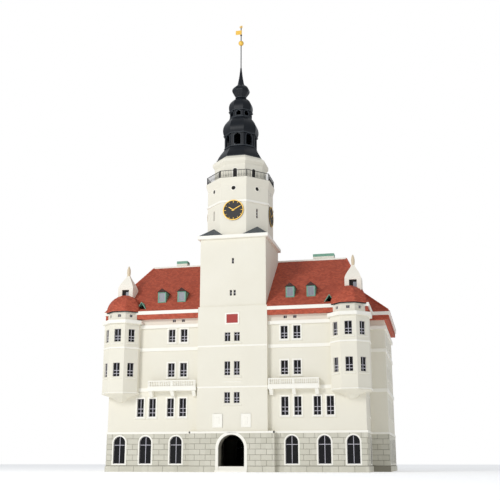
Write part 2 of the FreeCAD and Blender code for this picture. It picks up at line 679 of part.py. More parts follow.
def main_roof():
    """The tiled roof as one shell, open where the tower, turrets, pavilions and dormers come through."""
    tower = box("roof_tower", ("-upper_half", "upper_half"),
                ("tower_axis - lower_half - gutter_out", "tower_axis + upper_half"), (EAVES, SHAFT_TOP))
    lower = box("roof_tower_lower", ("-lower_half", "lower_half"),
                ("tower_axis - lower_half - gutter_out", TOWER_BACK), (EAVES, "lower_top"))
    dome = loft("roof_dome", dome_sections("dome_wide", DOME), TURRET_X, "turret_back")
    pavilion = pavilion_block("roof_pavilion")
    dormers = [dormer_body("roof_dormer", middle) for middle in ("dormer_near", "dormer_far")]
    gablet = gablet_block("roof_gablet", "0")
    right = fuse("roof_right_holes", [dome, pavilion, gablet] + dormers)
    shell = cut("roof_shell", roof_block("roof_outside", "0"), [roof_block("roof_inside", "roof_inset")])
    return cut("main_roof", shell, [tower, lower, right, mirrored("roof_left_holes", right)])


def dormers():
    """The copper-clad dormers: hollow boxes with an open front, cut to the slope of the roof."""
    boxes = []
    foot, head = f"{EAVES} + dormer_low", f"{EAVES} + dormer_low + dormer_high"
    for middle in ("dormer_near", "dormer_far"):
        room = dormer_body("dormer_room", middle, "dormer_wall")
        mouth = box("dormer_mouth", (f"{middle} - dormer_wide / 2 + dormer_wall * 1.5",
                                     f"{middle} + dormer_wide / 2 - dormer_wall * 1.5"),
                    ("dormer_front - 1", "dormer_front + 2 * dormer_wall"),
                    (f"{foot} + dormer_wall * 1.5", f"{head} - dormer_wall"))
        boxes.append(cut("dormer", dormer_body("dormer_outside", middle),
                         [room, mouth, roof_block("dormer_slope", "roof_inset")]))
    return pair("dormers", group("dormers_right", boxes))


def dormer_roofs():
    """The small gabled roofs of the dormers, cut to the slope of the main roof."""
    roofs = []
    head = f"{EAVES} + dormer_low + dormer_high"
    for middle in ("dormer_near", "dormer_far"):
        sides = (f"{middle} - dormer_wide / 2 - dormer_eave", f"{middle} + dormer_wide / 2 + dormer_eave")
        ends = ("dormer_front - dormer_eave", "dormer_front + front_ridge_deep / 2")
        roof = hip("dormer_gable", sides, ends, (head, f"{head} + dormer_rise"), (middle, middle), ends)
        roofs.append(cut("dormer_roof", roof, [roof_block("dormer_roof_slope", "0")]))
    return pair("dormer_roofs", group("dormer_roofs_right", roofs))


def gablet_block(name, inset):
    """The block of the small gable at the eaves."""
    ends = ("-gutter_out / 2", "front_ridge_deep / 3")
    sides = (f"gablet_x - gablet_half + {inset}", f"gablet_x + gablet_half - {inset}")
    return hip(name, sides, ends, (EAVES, f"{EAVES} + gablet_rise - ({inset})"),
               ("gablet_x", "gablet_x"), ends)


def gablets():
    """The small copper-edged gables at the eaves, open to the front."""
    inside = gablet_block("gablet_inside", "gablet_wall")
    tent = cut("gablet_tent", gablet_block("gablet_outside", "0"), [inside])
    dome = loft("gablet_dome", dome_sections("dome_wide", DOME), TURRET_X, "turret_back")
    return pair("gablets", cut("gablet_right", tent, [roof_block("gablet_slope", "roof_inset"), dome]))


def ridge_vents():
    """The long copper vents behind the front ridge."""
    vents = []
    ridge = "(front_ridge_deep - gutter_out)"
    for side, middle, long in (("left", "-vent_left", "vent_left_long"),
                               ("right", "vent_right", "vent_right_long")):
        body = box(f"vent_{side}", (f"{middle} - {long} / 2", f"{middle} + {long} / 2"),
                   (f"{ridge} + vent_deep / 4", f"{ridge} + vent_deep * 1.25"),
                   (f"{RIDGE} - roof_rise / 4", f"{RIDGE} + vent_rise"))
        vents.append(cut(f"vent_{side}_cut", body, [roof_block(f"vent_{side}_slope", "0")]))
    return group("ridge_vents", vents)


# ---- turrets and pavilions ----

def dome_sections(wide, foot):
    """Heights and widths of a round-profiled dome, a little flat at its crown."""
    shares = ((0, 1), (0.28, 0.96), (0.54, 0.842), (0.76, 0.65), (0.91, 0.415), (0.985, 0.17))
    return [(f"{foot} + dome_rise * {up}", f"({wide}) * {across}") for up, across in shares]


def turret_corbels():
    """The curved corbels that carry the turrets on the corners."""
    foot = "turret_foot - corbel_high"
    middle = "(turret_wide + corbel_foot) / 2 - turret_wide / 8"
    body = loft("corbel_loft", ((foot, "corbel_foot"), ("turret_foot - corbel_high / 2", middle),
                                ("turret_foot - corbel_high / 10", "turret_wide"),
                                ("turret_foot", "turret_wide")), TURRET_X, "turret_back", smooth=False)
    corner = box("corbel_corner", ("0", "front_half"), ("0", "building_depth"), ("0", "turret_foot"))
    return pair("turret_corbels", cut("turret_corbel_right", body, [corner]))


def turret_walls():
    """The octagonal walls of the turrets, open to the rooms behind them."""
    shaft = octagon("turret_shaft", "turret_wide", ("turret_foot", "turret_shaft_top"),
                    TURRET_X, "turret_back")
    drum = octagon("turret_drum", "turret_drum_wide", ("turret_shaft_top", DOME), TURRET_X, "turret_back")
    room = octagon("turret_room", "turret_wide - 2 * turret_wall", ("turret_foot - 1", "turret_shaft_top"),
                   TURRET_X, "turret_back")
    attic = octagon("turret_attic", "turret_drum_wide - 2 * turret_wall",
                    ("turret_shaft_top - 1", f"{DOME} + 1"), TURRET_X, "turret_back")
    inside = inside_block("turret_inside", ("turret_foot - 1", WALL_TOP))
    blocks = []
    for angle in (-45, 0, 45):
        for storey in ("second", "third"):
            slot = window("turret_slot", "window_wide", ROWS[storey], "y", "0", ("-turret_wide", "0"))
            blocks.append(turned("turret_window", slot, angle, TURRET_X, "turret_back"))
        low = f"{TURRET_DRUM} + turret_light_sill"
        light = window("turret_light_slot", "light_wide", (low, f"{low} + light_high"), "y", "0",
                       ("-turret_wide", "0"))
        blocks.append(turned("turret_light", light, angle, TURRET_X, "turret_back"))
    body = fuse("turret_body", [shaft, drum])
    return pair("turret_walls", cut("turret_wall_right", body, [room, attic, inside] + blocks))


def turret_cornices():
    """The cornices round the turrets."""
    ring = octagon("turret_cornice_block", "turret_wide + 2 * turret_cornice_out",
                   ("turret_shaft_top", TURRET_DRUM), TURRET_X, "turret_back")
    hole = octagon("turret_cornice_hole", "turret_drum_wide", ("turret_shaft_top - 1", f"{TURRET_DRUM} + 1"),
                   TURRET_X, "turret_back")
    inside = inside_block("turret_cornice_inside", ("turret_shaft_top - 1", WALL_TOP))
    return pair("turret_cornices", cut("turret_cornice_right", ring, [hole, inside]))


def turret_domes():
    """The tiled domes of the turrets, as shells."""
    outside = loft("dome_outside", dome_sections("dome_wide", DOME), TURRET_X, "turret_back")
    inside = loft("dome_inside", dome_sections("dome_wide - 2 * dome_shell", f"{DOME} - dome_shell"),
                  TURRET_X, "turret_back")
    return pair("turret_domes", cut("turret_dome_right", outside, [inside]))


def pavilion_block(name):
    """The upright block of a pavilion, from inside the roof to the foot of its cap."""
    half = "pavilion_wide / 2"
    return box(name, (f"{PAVILION_X} - {half}", f"{PAVILION_X} + {half}"),
               (f"pavilion_back - {half}", f"pavilion_back + {half}"), (EAVES, "pavilion_top"))


def corner_gables():
    """The white pavilions behind the turrets, with a curved cap, an opening and a finial."""
    cap = loft("pavilion_cap_loft", [(f"pavilion_top + pavilion_cap * {up}", f"pavilion_wide * {across}")
                                     for up, across in ((0, 1), (0.4, 0.72), (0.7, 0.42), (1, 0.17))],
               PAVILION_X, "pavilion_back", sides=4)
    finial = loft("finial", (("pavilion_top + pavilion_cap * 0.95", "finial_wide * 0.7"),
                             ("pavilion_top + pavilion_cap + finial_high / 4", "finial_wide"),
                             ("pavilion_top + pavilion_cap + finial_high * 0.7", "finial_wide * 0.85"),
                             ("pavilion_top + pavilion_cap + finial_high", "finial_wide * 0.2")),
                  PAVILION_X, "pavilion_back")
    block = fuse("pavilion_whole", [pavilion_block("pavilion_outside"), cap, finial])
    half = "(pavilion_wide / 2 - pavilion_wall)"
    room = box("pavilion_room", (f"{PAVILION_X} - {half}", f"{PAVILION_X} + {half}"),
               (f"pavilion_back - {half}", f"pavilion_back + {half}"), (f"{EAVES} - 1", "pavilion_top"))
    door = box("pavilion_doorway", (f"{PAVILION_X} - pavilion_door / 2", f"{PAVILION_X} + pavilion_door / 2"),
               ("pavilion_back - pavilion_wide", "pavilion_back"),
               (f"{DOME} + dome_rise * 0.6", "pavilion_door_top"))
    dome = loft("pavilion_dome", dome_sections("dome_wide", DOME), TURRET_X, "turret_back")
    return pair("corner_gables", cut("corner_gable_right", block, [room, door, dome]))


# ---- balconies ----

POSTS = 5   # posts along the front of a balcony

def balconies():
    """The balcony slabs with their brackets."""
    foot = f"{SECOND} - balcony_slab"
    slab = box("balcony_slab_right", ("balcony_near", "balcony_far"), ("-balcony_deep", "-string_out"),
               (foot, SECOND))
    ends = ("balcony_near + bracket_end", "(balcony_near + balcony_far) / 2", "balcony_far - bracket_end")
    brackets = []
    for middle in ends:
        across = (f"{middle} - bracket_wide / 2", f"{middle} + bracket_wide / 2")
        brackets.append(hip("bracket", across, ("-string_out - balcony_deep / 4", "0"),
                            (f"{foot} - bracket_high", foot), across, ("-balcony_deep * 0.9", "0")))
    return pair("balconies", fuse("balcony_right", [slab] + brackets))


def balustrades():
    """The rails and posts of the balconies, each bar a solid of its own."""
    front = ("rail_inset - balcony_deep", "rail_inset - balcony_deep + rail_thick")
    ends = ("balcony_near + rail_inset", "balcony_far - rail_inset")
    side = (f"{ends[1]} - rail_thick", ends[1])
    deep = (front[1], "-string_out")
    low = (SECOND, f"{SECOND} + rail_thick")
    high = (f"{SECOND} + rail_high - rail_thick", f"{SECOND} + rail_high")
    bars = []
    for zs in (low, high):
        bars.append(box("rail_front", ends, front, zs))
        bars.append(box("rail_side", side, deep, zs))
    for step in range(POSTS):
        near = f"{ends[0]} + ({side[0]} - ({ends[0]})) * {step} / {POSTS - 1}"
        bars.append(box("rail_post", (near, f"{near} + rail_thick"), front, (low[1], high[0])))
    return pair("balustrades", group("balustrade_right", bars))


# ---- foot of the tower ----

def rear_pier(name):
    """The pier under a rear corner of the tower."""
    return box(name, ("lower_half - 2 * tower_wall", "lower_half"),
               (f"{TOWER_BACK} - 2 * tower_wall", TOWER_BACK), ("0", FIRST))


def tower_piers():
    """The piers that carry the tower: two beside the gate and two inside the building."""
    front = box("pier_front", ("door_half", "gate_half"), ("-gate_front", "wall"), ("0", FIRST))
    return pair("tower_piers", group("tower_piers_right", [front, rear_pier("pier_rear")]))


def gate_arch():
    """The masonry over the doorway."""
    block = box("gate_head", ("-door_half", "door_half"), ("-gate_front", "wall"), ("door_spring", FIRST))
    hole = cylinder("gate_hole", "door_half", "y", ("0", "-gate_front - 1", "door_spring"),
                    "gate_front + wall + 2")
    return cut("gate_arch", block, [hole])


def doorstep():
    """The threshold between the piers and the step in front of it."""
    threshold = box("threshold", ("-door_half", "door_half"), ("-gate_front", "wall"),
                    ("0", "threshold_high"))
    step = box("step", ("-door_half - door_band", "door_half + door_band"),
               ("-gate_front - step_out", "-gate_front"), ("0", "step_high"))
    return fuse("doorstep", [threshold, step])


def tower_hall():
    """The ground floor of the hall under the tower, cut round the rear piers."""
    zs = ("0", "ground_floor_high")
    wide = box("hall_floor_wide", ("-gate_half", "gate_half"), ("wall", "setback_depth + wall"), zs)
    deep = box("hall_floor_deep", ("-lower_half", "lower_half"), ("wall", TOWER_BACK), zs)
    pier = rear_pier("hall_floor_pier")
    whole = fuse("hall_floor_block", [wide, deep])
    return cut("hall_floor", whole, [pier, mirrored("hall_floor_pier_left", pier)])


# ---- square shaft ----

def shaft_plate(name, half, zs, side):
    """One wall of the square shaft: front and back run the full width, the sides fit between them."""
    near, far = f"tower_axis - {half}", f"tower_axis + {half}"
    if side == "front":
        return box(name, (f"-{half}", half), (near, f"{near} + tower_wall"), zs)
    if side == "back":
        return box(name, (f"-{half}", half), (f"{far} - tower_wall", far), zs)
    return box(name, (f"{half} - tower_wall", half), (f"{near} + tower_wall", f"{far} - tower_wall"), zs)


def tower_pairs(reach):
    """The pairs of windows and the slits of the tower's front."""
    blocks = []
    for storey in ("first", "second", "third"):
        zs = (f"tower_{storey}_sill", f"tower_{storey}_sill + tower_{storey}_high")
        for middle in ("-pair_middle", "pair_middle"):
            blocks.append(window("tower_pair", "pair_wide", zs, "y", middle, reach))
    for low, middle in (("slit_low", "-slit_middle"), ("slit_low", "slit_middle"), ("slit_upper", "0")):
        blocks.append(window("tower_slit", "slit_wide", (low, f"{low} + slit_high"), "y", middle, reach))
    return blocks


def tower_front_wall():
    """The front of the shaft, with its pairs of windows and slits."""
    lower = shaft_plate("shaft_front_lower", "lower_half", (FIRST, "lower_top"), "front")
    upper = shaft_plate("shaft_front_upper", "upper_half", ("lower_top", SHAFT_TOP), "front")
    reach = (f"tower_axis - lower_half - {THROUGH}", f"tower_axis - upper_half + tower_wall + {THROUGH}")
    return cut("tower_front_wall", fuse("shaft_front", [lower, upper]), tower_pairs(reach))


def tower_side_walls():
    """The two side walls of the shaft."""
    lower = shaft_plate("shaft_side_lower", "lower_half", (FIRST, "lower_top"), "side")
    upper = shaft_plate("shaft_side_upper", "upper_half", ("lower_top", SHAFT_TOP), "side")
    return pair("tower_side_walls", fuse("shaft_side", [lower, upper]))


def tower_back_wall():
    """The back of the shaft, whose head shows above the roof."""
    lower = shaft_plate("shaft_back_lower", "lower_half", (FIRST, "lower_top"), "back")
    upper = shaft_plate("shaft_back_upper", "upper_half", ("lower_top", SHAFT_TOP), "back")
    return fuse("tower_back_wall", [lower, upper])


def tower_floors():
    """The floors inside the shaft."""
    floors = [tower_hall()]
    for level in (FIRST, SECOND, THIRD, "lower_top"):
        half = "(lower_half - tower_wall)"
        low = level if level == FIRST else f"{level} - floor_thick"
        floors.append(box("tower_floor", (f"-{half}", half), (f"tower_axis - {half}", f"tower_axis + {half}"),
                          (low, f"{low} + floor_thick")))
    return group("tower_floors", floors)


def tower_cornice():
    """The cornice of the shaft, as one slab with the deck under the octagon."""
    half = total("upper_half", "shaft_cornice_out")
    return box("tower_cornice", (f"-{half}", half), (f"tower_axis - {half}", f"tower_axis + {half}"),
               (SHAFT_TOP, OCTAGON))


def tower_corner_roofs():
    """The four broach roofs between the square shaft and the octagon."""
    far = "(upper_half + shaft_cornice_out * 0.8)"
    near = f"(octagon_wide / sqrt(2) - {far})"
    top = f"({near} + {far}) / 2"
    roof = hip("broach", (near, far), (near, far), ("0", "broach_rise"), (top, top), (top, top))
    roofs = []
    for angle in (0, 90, 180, 270):
        corner = move(group("broach_corner", [roof]), "0", "tower_axis", OCTAGON, angle)
        hole = octagon("broach_hole", "octagon_wide", (f"{OCTAGON} - 1", f"{OCTAGON} + octagon_rise"))
        roofs.append(cut("corner_roof", corner, [hole]))
    return group("tower_corner_roofs", roofs)


# ---- panels on the tower ----

def tower_panels():
    """The relief panels beside the door's axis and the frame round the red panel."""
    face = "(tower_axis - lower_half)"
    out = (f"{face} - panel_out", face)
    plaques = [box("plaque", xs, out, ("plaque_low", "plaque_low + plaque_high"))
               for xs in (("plaque_near", "plaque_far"), ("-plaque_far", "-plaque_near"))]
    frame = box("red_frame_block", ("-red_half - red_band", "red_half + red_band"), out,
                ("red_low - red_band", "red_low + red_high + red_band"))
    hole = box("red_frame_hole", ("-red_half", "red_half"), (f"{face} - 2 * panel_out", f"{face} + 1"),
               ("red_low", "red_low + red_high"))
    return group("tower_panels", plaques + [cut("red_frame", frame, [hole])])


def red_panel():
    """The red panel high on the front of the tower."""
    face = "(tower_axis - lower_half)"
    return box("red_panel", ("-red_half", "red_half"), (f"{face} - panel_out / 2", face),
               ("red_low", "red_low + red_high"))


# ---- octagon and clocks ----

def tower_octagon():
    """The octagonal storey of the clocks, with slits on the diagonals and round windows all round."""
    zs = (OCTAGON, f"{OCTAGON} + octagon_rise")
    outside = octagon("octagon_outside", "octagon_wide", zs)
    inside = octagon("octagon_inside", "octagon_wide - 2 * octagon_wall", (f"{zs[0]} - 1", f"{zs[1]} + 1"))
    ring = cut("octagon_ring", outside, [inside])
    near = f"-octagon_wide / 2 - {THROUGH}"
    low = f"{OCTAGON} + octagon_slit_low"
    slot = window("octagon_slot", "slit_wide", (low, f"{low} + octagon_slit_high"), "y", "0",
                  (near, f"octagon_wall - octagon_wide / 2 + {THROUGH}"))
    eye = cylinder("oculus", "oculus_radius", "y", ("0", near, f"{OCTAGON} + oculus_up"),
                   f"octagon_wall + 2 * {THROUGH}")
    slits = [turned("octagon_slit", slot, angle) for angle in FACETS[1::2]]
    eyes = [turned("octagon_eye", eye, angle) for angle in FACETS]
    return cut("tower_octagon", ring, [group("octagon_holes", slits + eyes)])


def clock_faces():
    """The four clocks: a raised rim round a flat dial, with the pin of the hands."""
    back = "-octagon_wide / 2"
    height = f"{OCTAGON} + clock_up"
    rim = cylinder("clock_rim", "clock_radius", "y", ("0", f"{back} - rim_out", height), "rim_out")
    well = cylinder("clock_well", "dial_radius", "y", ("0", f"{back} - rim_out - 1", height),
                    "rim_out - dial_out + 1")
    arbor = cylinder("clock_arbor", "arbor_radius", "y",
                     ("0", f"{back} - dial_out - 3 * hand_gap - 2 * hand_thick", height),
                     "dial_out + 3 * hand_gap + 2 * hand_thick")
    face = fuse("clock_face", [cut("clock_bowl", rim, [well]), arbor])
    return group("clock_faces", [turned("clock_turned", face, angle) for angle in FACETS[::2]])


def hand(name, long, layer, clock_angle):
    """A hand on its boss, in one of the two layers in front of the dial."""
    far = f"-octagon_wide / 2 - dial_out - hand_gap * {layer} - hand_thick * {layer}"
    reach = (far, f"{far} + hand_thick")
    blade = box(f"{name}_blade", ("-hand_wide / 2", "hand_wide / 2"), reach, (f"-{long} / 5", long))
    boss = cylinder(f"{name}_boss", "hub_radius", "y", ("0", far, "0"), "hand_thick")
    hole = cylinder(f"{name}_bore", "arbor_radius + arbor_play", "y", ("0", f"{far} - 1", "0"),
                    "hand_thick + 2")
    whole = cut(f"{name}_flat", fuse(f"{name}_whole", [blade, boss]), [hole])
    item = move(group(name, [whole]), "0", "tower_axis", f"{OCTAGON} + clock_up")
    spin = FreeCAD.Rotation(FreeCAD.Vector(0, 1, 0), clock_angle)
    item.Placement = FreeCAD.Placement(item.Placement.Base, spin)
    return item


HOUR_ANGLE = -55     # the hands stand at ten past ten
MINUTE_ANGLE = 60


def hour_hand():
    """The hour hand of the front clock."""
    return hand("hour_hand", "hour_long", 1, HOUR_ANGLE)


def minute_hand():
    """The minute hand of the front clock."""
    return hand("minute_hand", "minute_long", 2, MINUTE_ANGLE)


def fixed_clock_hands():
    """The hands of the clocks on the sides and the back."""
    hands = []
    kinds = (("hour", "hour_long", 1, HOUR_ANGLE), ("minute", "minute_long", 2, MINUTE_ANGLE))
    for angle in FACETS[2::2]:
        for name, long, layer, lean in kinds:
            flat = hand(f"side_{name}", long, layer, lean)
            centred = move(group(f"side_{name}_centred", [flat]), "0", "-tower_axis")
            hands.append(turned(f"side_{name}_turned", centred, angle))
    return group("fixed_clock_hands", hands)


# ---- gallery and drum ----

def gallery_floor():
    """The corbelled ring and floor of the gallery."""
    foot = f"{OCTAGON} + octagon_rise"
    corbel = loft("gallery_corbel", ((foot, "octagon_wide"), (f"{GALLERY} - gallery_floor", "gallery_wide"),
                                     (GALLERY, "gallery_wide")), smooth=False)
    hollow = octagon("gallery_hollow", "octagon_wide - 2 * octagon_wall",
                     (f"{foot} - 1", f"{GALLERY} - gallery_floor"))
    return cut("gallery_floor", corbel, [hollow])


def gallery_railing():
    """The iron railing of the gallery: two rails and a post at each corner."""
    outside = octagon("railing_outside", "railing_wide", (GALLERY, f"{GALLERY} + railing_high"))
    inside = octagon("railing_inside", "railing_wide - 2 * railing_thick",
                     (f"{GALLERY} - 1", f"{GALLERY} + railing_high + 1"))
    ring = cut("railing_ring", outside, [inside])
    side = "railing_wide * tan(22.5 deg)"
    gap = box("railing_gap", (f"-({side}) / 2 + railing_thick", f"({side}) / 2 - railing_thick"),
              ("-railing_wide", "-railing_wide / 3"),
              (f"{GALLERY} + railing_thick", f"{GALLERY} + railing_high - railing_thick"))
    return cut("gallery_railing", ring, [turned("railing_panel", gap, angle) for angle in FACETS])


def gallery_drum():
    """The drum behind the gallery, with a door on every side, its cornice and its slope."""
    outside = octagon("drum_outside", "drum_wide", (GALLERY, DRUM_CORNICE))
    cap = loft("drum_cap", ((DRUM_CORNICE, "drum_wide"),
                            (f"{DRUM_CORNICE} + drum_cornice_high / 2", "drum_cornice_wide"),
                            (DRUM_SLOPE, "drum_cornice_wide"), (SPIRE, "skirt_wide")), smooth=False)
    inside = octagon("drum_inside", "drum_wide - 2 * drum_wall", (f"{GALLERY} - 1", DRUM_CORNICE))
    well = octagon("drum_well", "skirt_wide - 2 * drum_wall", (f"{DRUM_CORNICE} - 1", f"{SPIRE} + 1"))
    doors = octagon_arches("drum_door", "drum_door_wide", f"{GALLERY} + drum_door_spring", GALLERY,
                           "drum_wide")
    return cut("gallery_drum", fuse("drum_body", [outside, cap]), [inside, well] + doors)


def octagon_arches(name, wide, spring, foot, reach):
    """Arched openings in all eight sides."""
    tool = arch(name, wide, spring, foot, "y", "0", (f"-{reach}", "0"))
    return [turned(f"{name}_turned", tool, angle) for angle in FACETS]


# ---- spire ----

def shell_loft(name, sections):
    """A hollow octagonal loft: its inside follows the outside at the thickness of the shell."""
    outside = loft(f"{name}_outside", sections)
    inner = [(height, f"({wide}) - 2 * shell") for height, wide in sections]
    inside = loft(f"{name}_inside", inner)
    return cut(name, outside, [inside])


def spire_skirt():
    """The dark convex skirt at the foot of the spire."""
    shares = ((0, 1), (0.3, 0.94), (0.62, 0.83), (1, 0.694))
    return shell_loft("spire_skirt", [(f"{SPIRE} + skirt_rise * {up}", f"skirt_wide * {across}")
                                      for up, across in shares])


def lantern(name, wide, foot, rise, door, spring):
    """An open octagonal lantern with an arch in every side and a floor."""
    outside = octagon(f"{name}_outside", wide, (foot, f"{foot} + {rise}"))
    inside = octagon(f"{name}_inside", f"{wide} - 2 * lantern_wall",
                     (f"{foot} + lantern_sill / 2", f"{foot} + {rise} + 1"))
    doors = octagon_arches(f"{name}_door", door, f"{foot} + {spring}", f"{foot} + lantern_sill", wide)
    return cut(name, outside, [inside] + doors)


def lantern_lower():
    """The lower open lantern."""
    return lantern("lantern_lower", "lantern_one_wide", LANTERN_ONE, "lantern_one_rise", "lantern_one_door",
                   "lantern_one_spring")


def lantern_upper():
    """The upper open lantern."""
    return lantern("lantern_upper", "lantern_two_wide", LANTERN_TWO, "lantern_two_rise", "lantern_two_door",
                   "lantern_two_spring")


def bell_roof_lower():
    """The lower bell-shaped roof, from its eave to the foot of the upper lantern."""
    sections = ((BELL_ONE, "bell_one_wide * 0.93"), (f"{BELL_ONE} + bell_one_rise * 0.33", "bell_one_wide"),
                (f"{BELL_ONE} + bell_one_rise * 0.6", "bell_one_wide * 0.93"),
                (f"{BELL_ONE} + bell_one_rise * 0.82", "bell_one_wide * 0.78"),
                (LANTERN_TWO, "lantern_two_wide + 30"))
    return shell_loft("bell_roof_lower", sections)


def bell_roof_upper():
    """The upper bell-shaped roof, which narrows to the neck of the onion."""
    sections = ((BELL_TWO, "bell_two_wide * 0.95"), (f"{BELL_TWO} + bell_two_rise * 0.3", "bell_two_wide"),
                (f"{BELL_TWO} + bell_two_rise * 0.6", "bell_two_wide * 0.9"),
                (f"{BELL_TWO} + bell_two_rise * 0.82", "bell_two_wide * 0.65"), (ONION, "neck_wide"))
    return shell_loft("bell_roof_upper", sections)


def spire_onion():
    """The onion with the spike on it."""
    onion = loft("onion", ((ONION, "neck_wide"), (f"{ONION} + onion_rise * 0.28", "onion_wide * 0.84"),
                           (f"{ONION} + onion_rise * 0.55", "onion_wide"),
                           (f"{ONION} + onion_rise * 0.8", "onion_wide * 0.76"), (SPIKE, "spike_wide")))
    spike = loft("spike", ((SPIKE, "spike_wide"),
                           (f"{SPIKE} + spike_rise / 2", "(spike_wide + spike_tip) * 0.42"),
                           (SPIKE_TOP, "spike_tip")))
    return fuse("spire_onion", [onion, spike])


# ---- finials ----

def vane_rod():
    """The rod on the spike, with the collar that carries the weather vane."""
    rod = cylinder("rod", "rod_radius", "z", ("0", "tower_axis", SPIKE_TOP), f"rod_top - {SPIKE_TOP}")
    collar = cylinder("collar", "collar_radius", "z",
                      ("0", "tower_axis", "vane_low - collar_gap - collar_high"), "collar_high")
    return fuse("vane_rod", [rod, collar])


def gilt_ball():
    """The gilt ball, threaded on the rod."""
    ball = doc.addObject("Part::Sphere", "ball")
    ball.setExpression("Radius", formula("ball_radius"))
    move(ball, "0", "tower_axis", "ball_up")
    hole = cylinder("ball_bore", "rod_radius", "z", ("0", "tower_axis", "ball_up - 2 * ball_radius"),
                    "4 * ball_radius")
    return cut("gilt_ball", ball, [hole])


def gilt_star():
    """The many-rayed star on top of the rod."""
    rays = []
    for angle in (0, 45, 90, 135):
        ray = box("ray", ("-star_radius", "star_radius"), ("-star_point / 2", "star_point / 2"),
                  ("-star_point / 2", "star_point / 2"))
        turned_ray = move(group("ray_turned", [ray]), "0", "tower_axis", "star_up")
        spin = FreeCAD.Rotation(FreeCAD.Vector(0, 1, 0), angle)
        turned_ray.Placement = FreeCAD.Placement(turned_ray.Placement.Base, spin)
        rays.append(turned_ray)
    body = doc.addObject("Part::Sphere", "star_body")
    body.setExpression("Radius", formula("star_radius / 2"))
    move(body, "0", "tower_axis", "star_up")
    rod = cylinder("star_seat", "rod_radius", "z", ("0", "tower_axis", "rod_top - 4 * star_radius"),
                   "4 * star_radius")
    return cut("gilt_star", fuse("star_whole", rays + [body]), [rod])


def weather_vane():
    """The flag on a sleeve that turns on the rod."""
    sleeve = cylinder("sleeve", "rod_radius + vane_play + sleeve_wall", "z", ("0", "tower_axis", "vane_low"),
                      "vane_high")
    flag = box("flag", ("-vane_long", "0"), ("tower_axis - vane_thick / 2", "tower_axis + vane_thick / 2"),
               ("vane_low + vane_high / 8", "vane_low + vane_high"))
    bore = cylinder("vane_bore", "rod_radius + vane_play", "z", ("0", "tower_axis", "vane_low - 1"),
                    "vane_high + 2")
    return cut("weather_vane", fuse("vane_whole", [sleeve, flag]), [bore])


# ---- glass and surrounds ----

def sheet_of_glass(columns, margin, zs, along, face):
    """A sheet behind a row of windows, from the first column to the last, against the wall's inner face."""
    across = (f"{columns[0]} - {margin} - glass_lap", f"{columns[-1]} + {margin} + glass_lap")
    lap = (f"{zs[0]} - glass_lap", f"{zs[1]} + glass_lap")
    return box("glass_sheet", across, face, lap) if along == "y" else box("glass_sheet", face, across, lap)


def window_glass():
    """One sheet of glass behind each group of windows on each storey."""
    half, arch_half = "window_wide / 2", "arch_wide / 2"
    front = ("wall", "wall + glass")
    side = ("front_half - wall - glass", "front_half - wall")
    rear = (f"{REAR_HALF} - wall - glass", f"{REAR_HALF} - wall")
    back = ("building_depth - wall - glass", "building_depth - wall")
    arches = ("arch_sill", "arch_spring + arch_wide / 2")
    storeys = [(zs, half) for zs in ROWS.values()] + [(arches, arch_half)]
    sheets = [sheet_of_glass(ARCHES, arch_half, arches, "y", front),
              sheet_of_glass(OUTER, half, ROWS["first"], "y", front),
              sheet_of_glass(ATTIC_LIGHTS, "light_wide / 2", LIGHTS, "y", front)]
    sheets += [sheet_of_glass(INNER, half, zs, "y", front) for zs in ROWS.values()]
    sheets += [sheet_of_glass(("side_column",), margin, zs, "x", side) for zs, margin in storeys]
    sheets += [sheet_of_glass(SIDE_COLUMNS, margin, zs, "x", rear) for zs, margin in storeys]
    middle = [sheet_of_glass(BACK_COLUMNS, margin, zs, "y", back) for zs, margin in storeys]
    return group("window_glass", [pair("glass_pairs", group("glass_right", sheets))] + middle)


def tower_glass():
    """The glass of the tower's front, against the inner face of its wall."""
    face = ("tower_axis - lower_half + tower_wall", "tower_axis - lower_half + tower_wall + glass")
    sheets = []
    for storey in ("first", "second", "third"):
        zs = (f"tower_{storey}_sill", f"tower_{storey}_sill + tower_{storey}_high")
        sheets.append(sheet_of_glass(("-pair_middle", "pair_middle"), "pair_wide / 2", zs, "y", face))
    return group("tower_glass", sheets)


def surrounds(tag, columns, arches, along, faces):
    """The raised bands round the windows of one wall."""
    outer = openings(f"{tag}_outer", columns, arches, along, faces, "surround_wide")
    reach = (f"{faces[0]} - 1", f"{faces[1]} + 1")
    inner = openings(f"{tag}_inner", columns, arches, along, reach)
    return [cut(f"{tag}_band", block, [hole]) for block, hole in zip(outer, inner)]


NO_COLUMNS = every_storey(())


def arch_surrounds():
    """The bands round the arched windows of the ground floor and round the doorway."""
    out = "surround_out"
    behind = ("building_depth", f"building_depth + {out}")
    bands = surrounds("arch_front", NO_COLUMNS, ARCHES, "y", (f"-{out}", "0"))
    bands += surrounds("arch_side", NO_COLUMNS, ("side_column",), "x", ("front_half", f"front_half + {out}"))
    bands += surrounds("arch_rear", NO_COLUMNS, SIDE_COLUMNS, "x", (REAR_HALF, f"{REAR_HALF} + {out}"))
    back = surrounds("arch_back", NO_COLUMNS, BACK_COLUMNS, "y", behind)
    face = ("-gate_front - door_band_out", "-gate_front")
    reach = (f"{face[0]} - 1", f"{face[1]} + 1")
    gate = arch("gate_band", "2 * door_half + 2 * door_band", "door_spring", "step_high", "y", "0", face)
    hole = arch("gate_band_hole", "2 * door_half", "door_spring", "0", "y", "0", reach)
    return group("arch_surrounds", [pair("arch_surround_pairs", group("arch_surrounds_right", bands)),
                                    cut("gate_surround", gate, [hole])] + back)


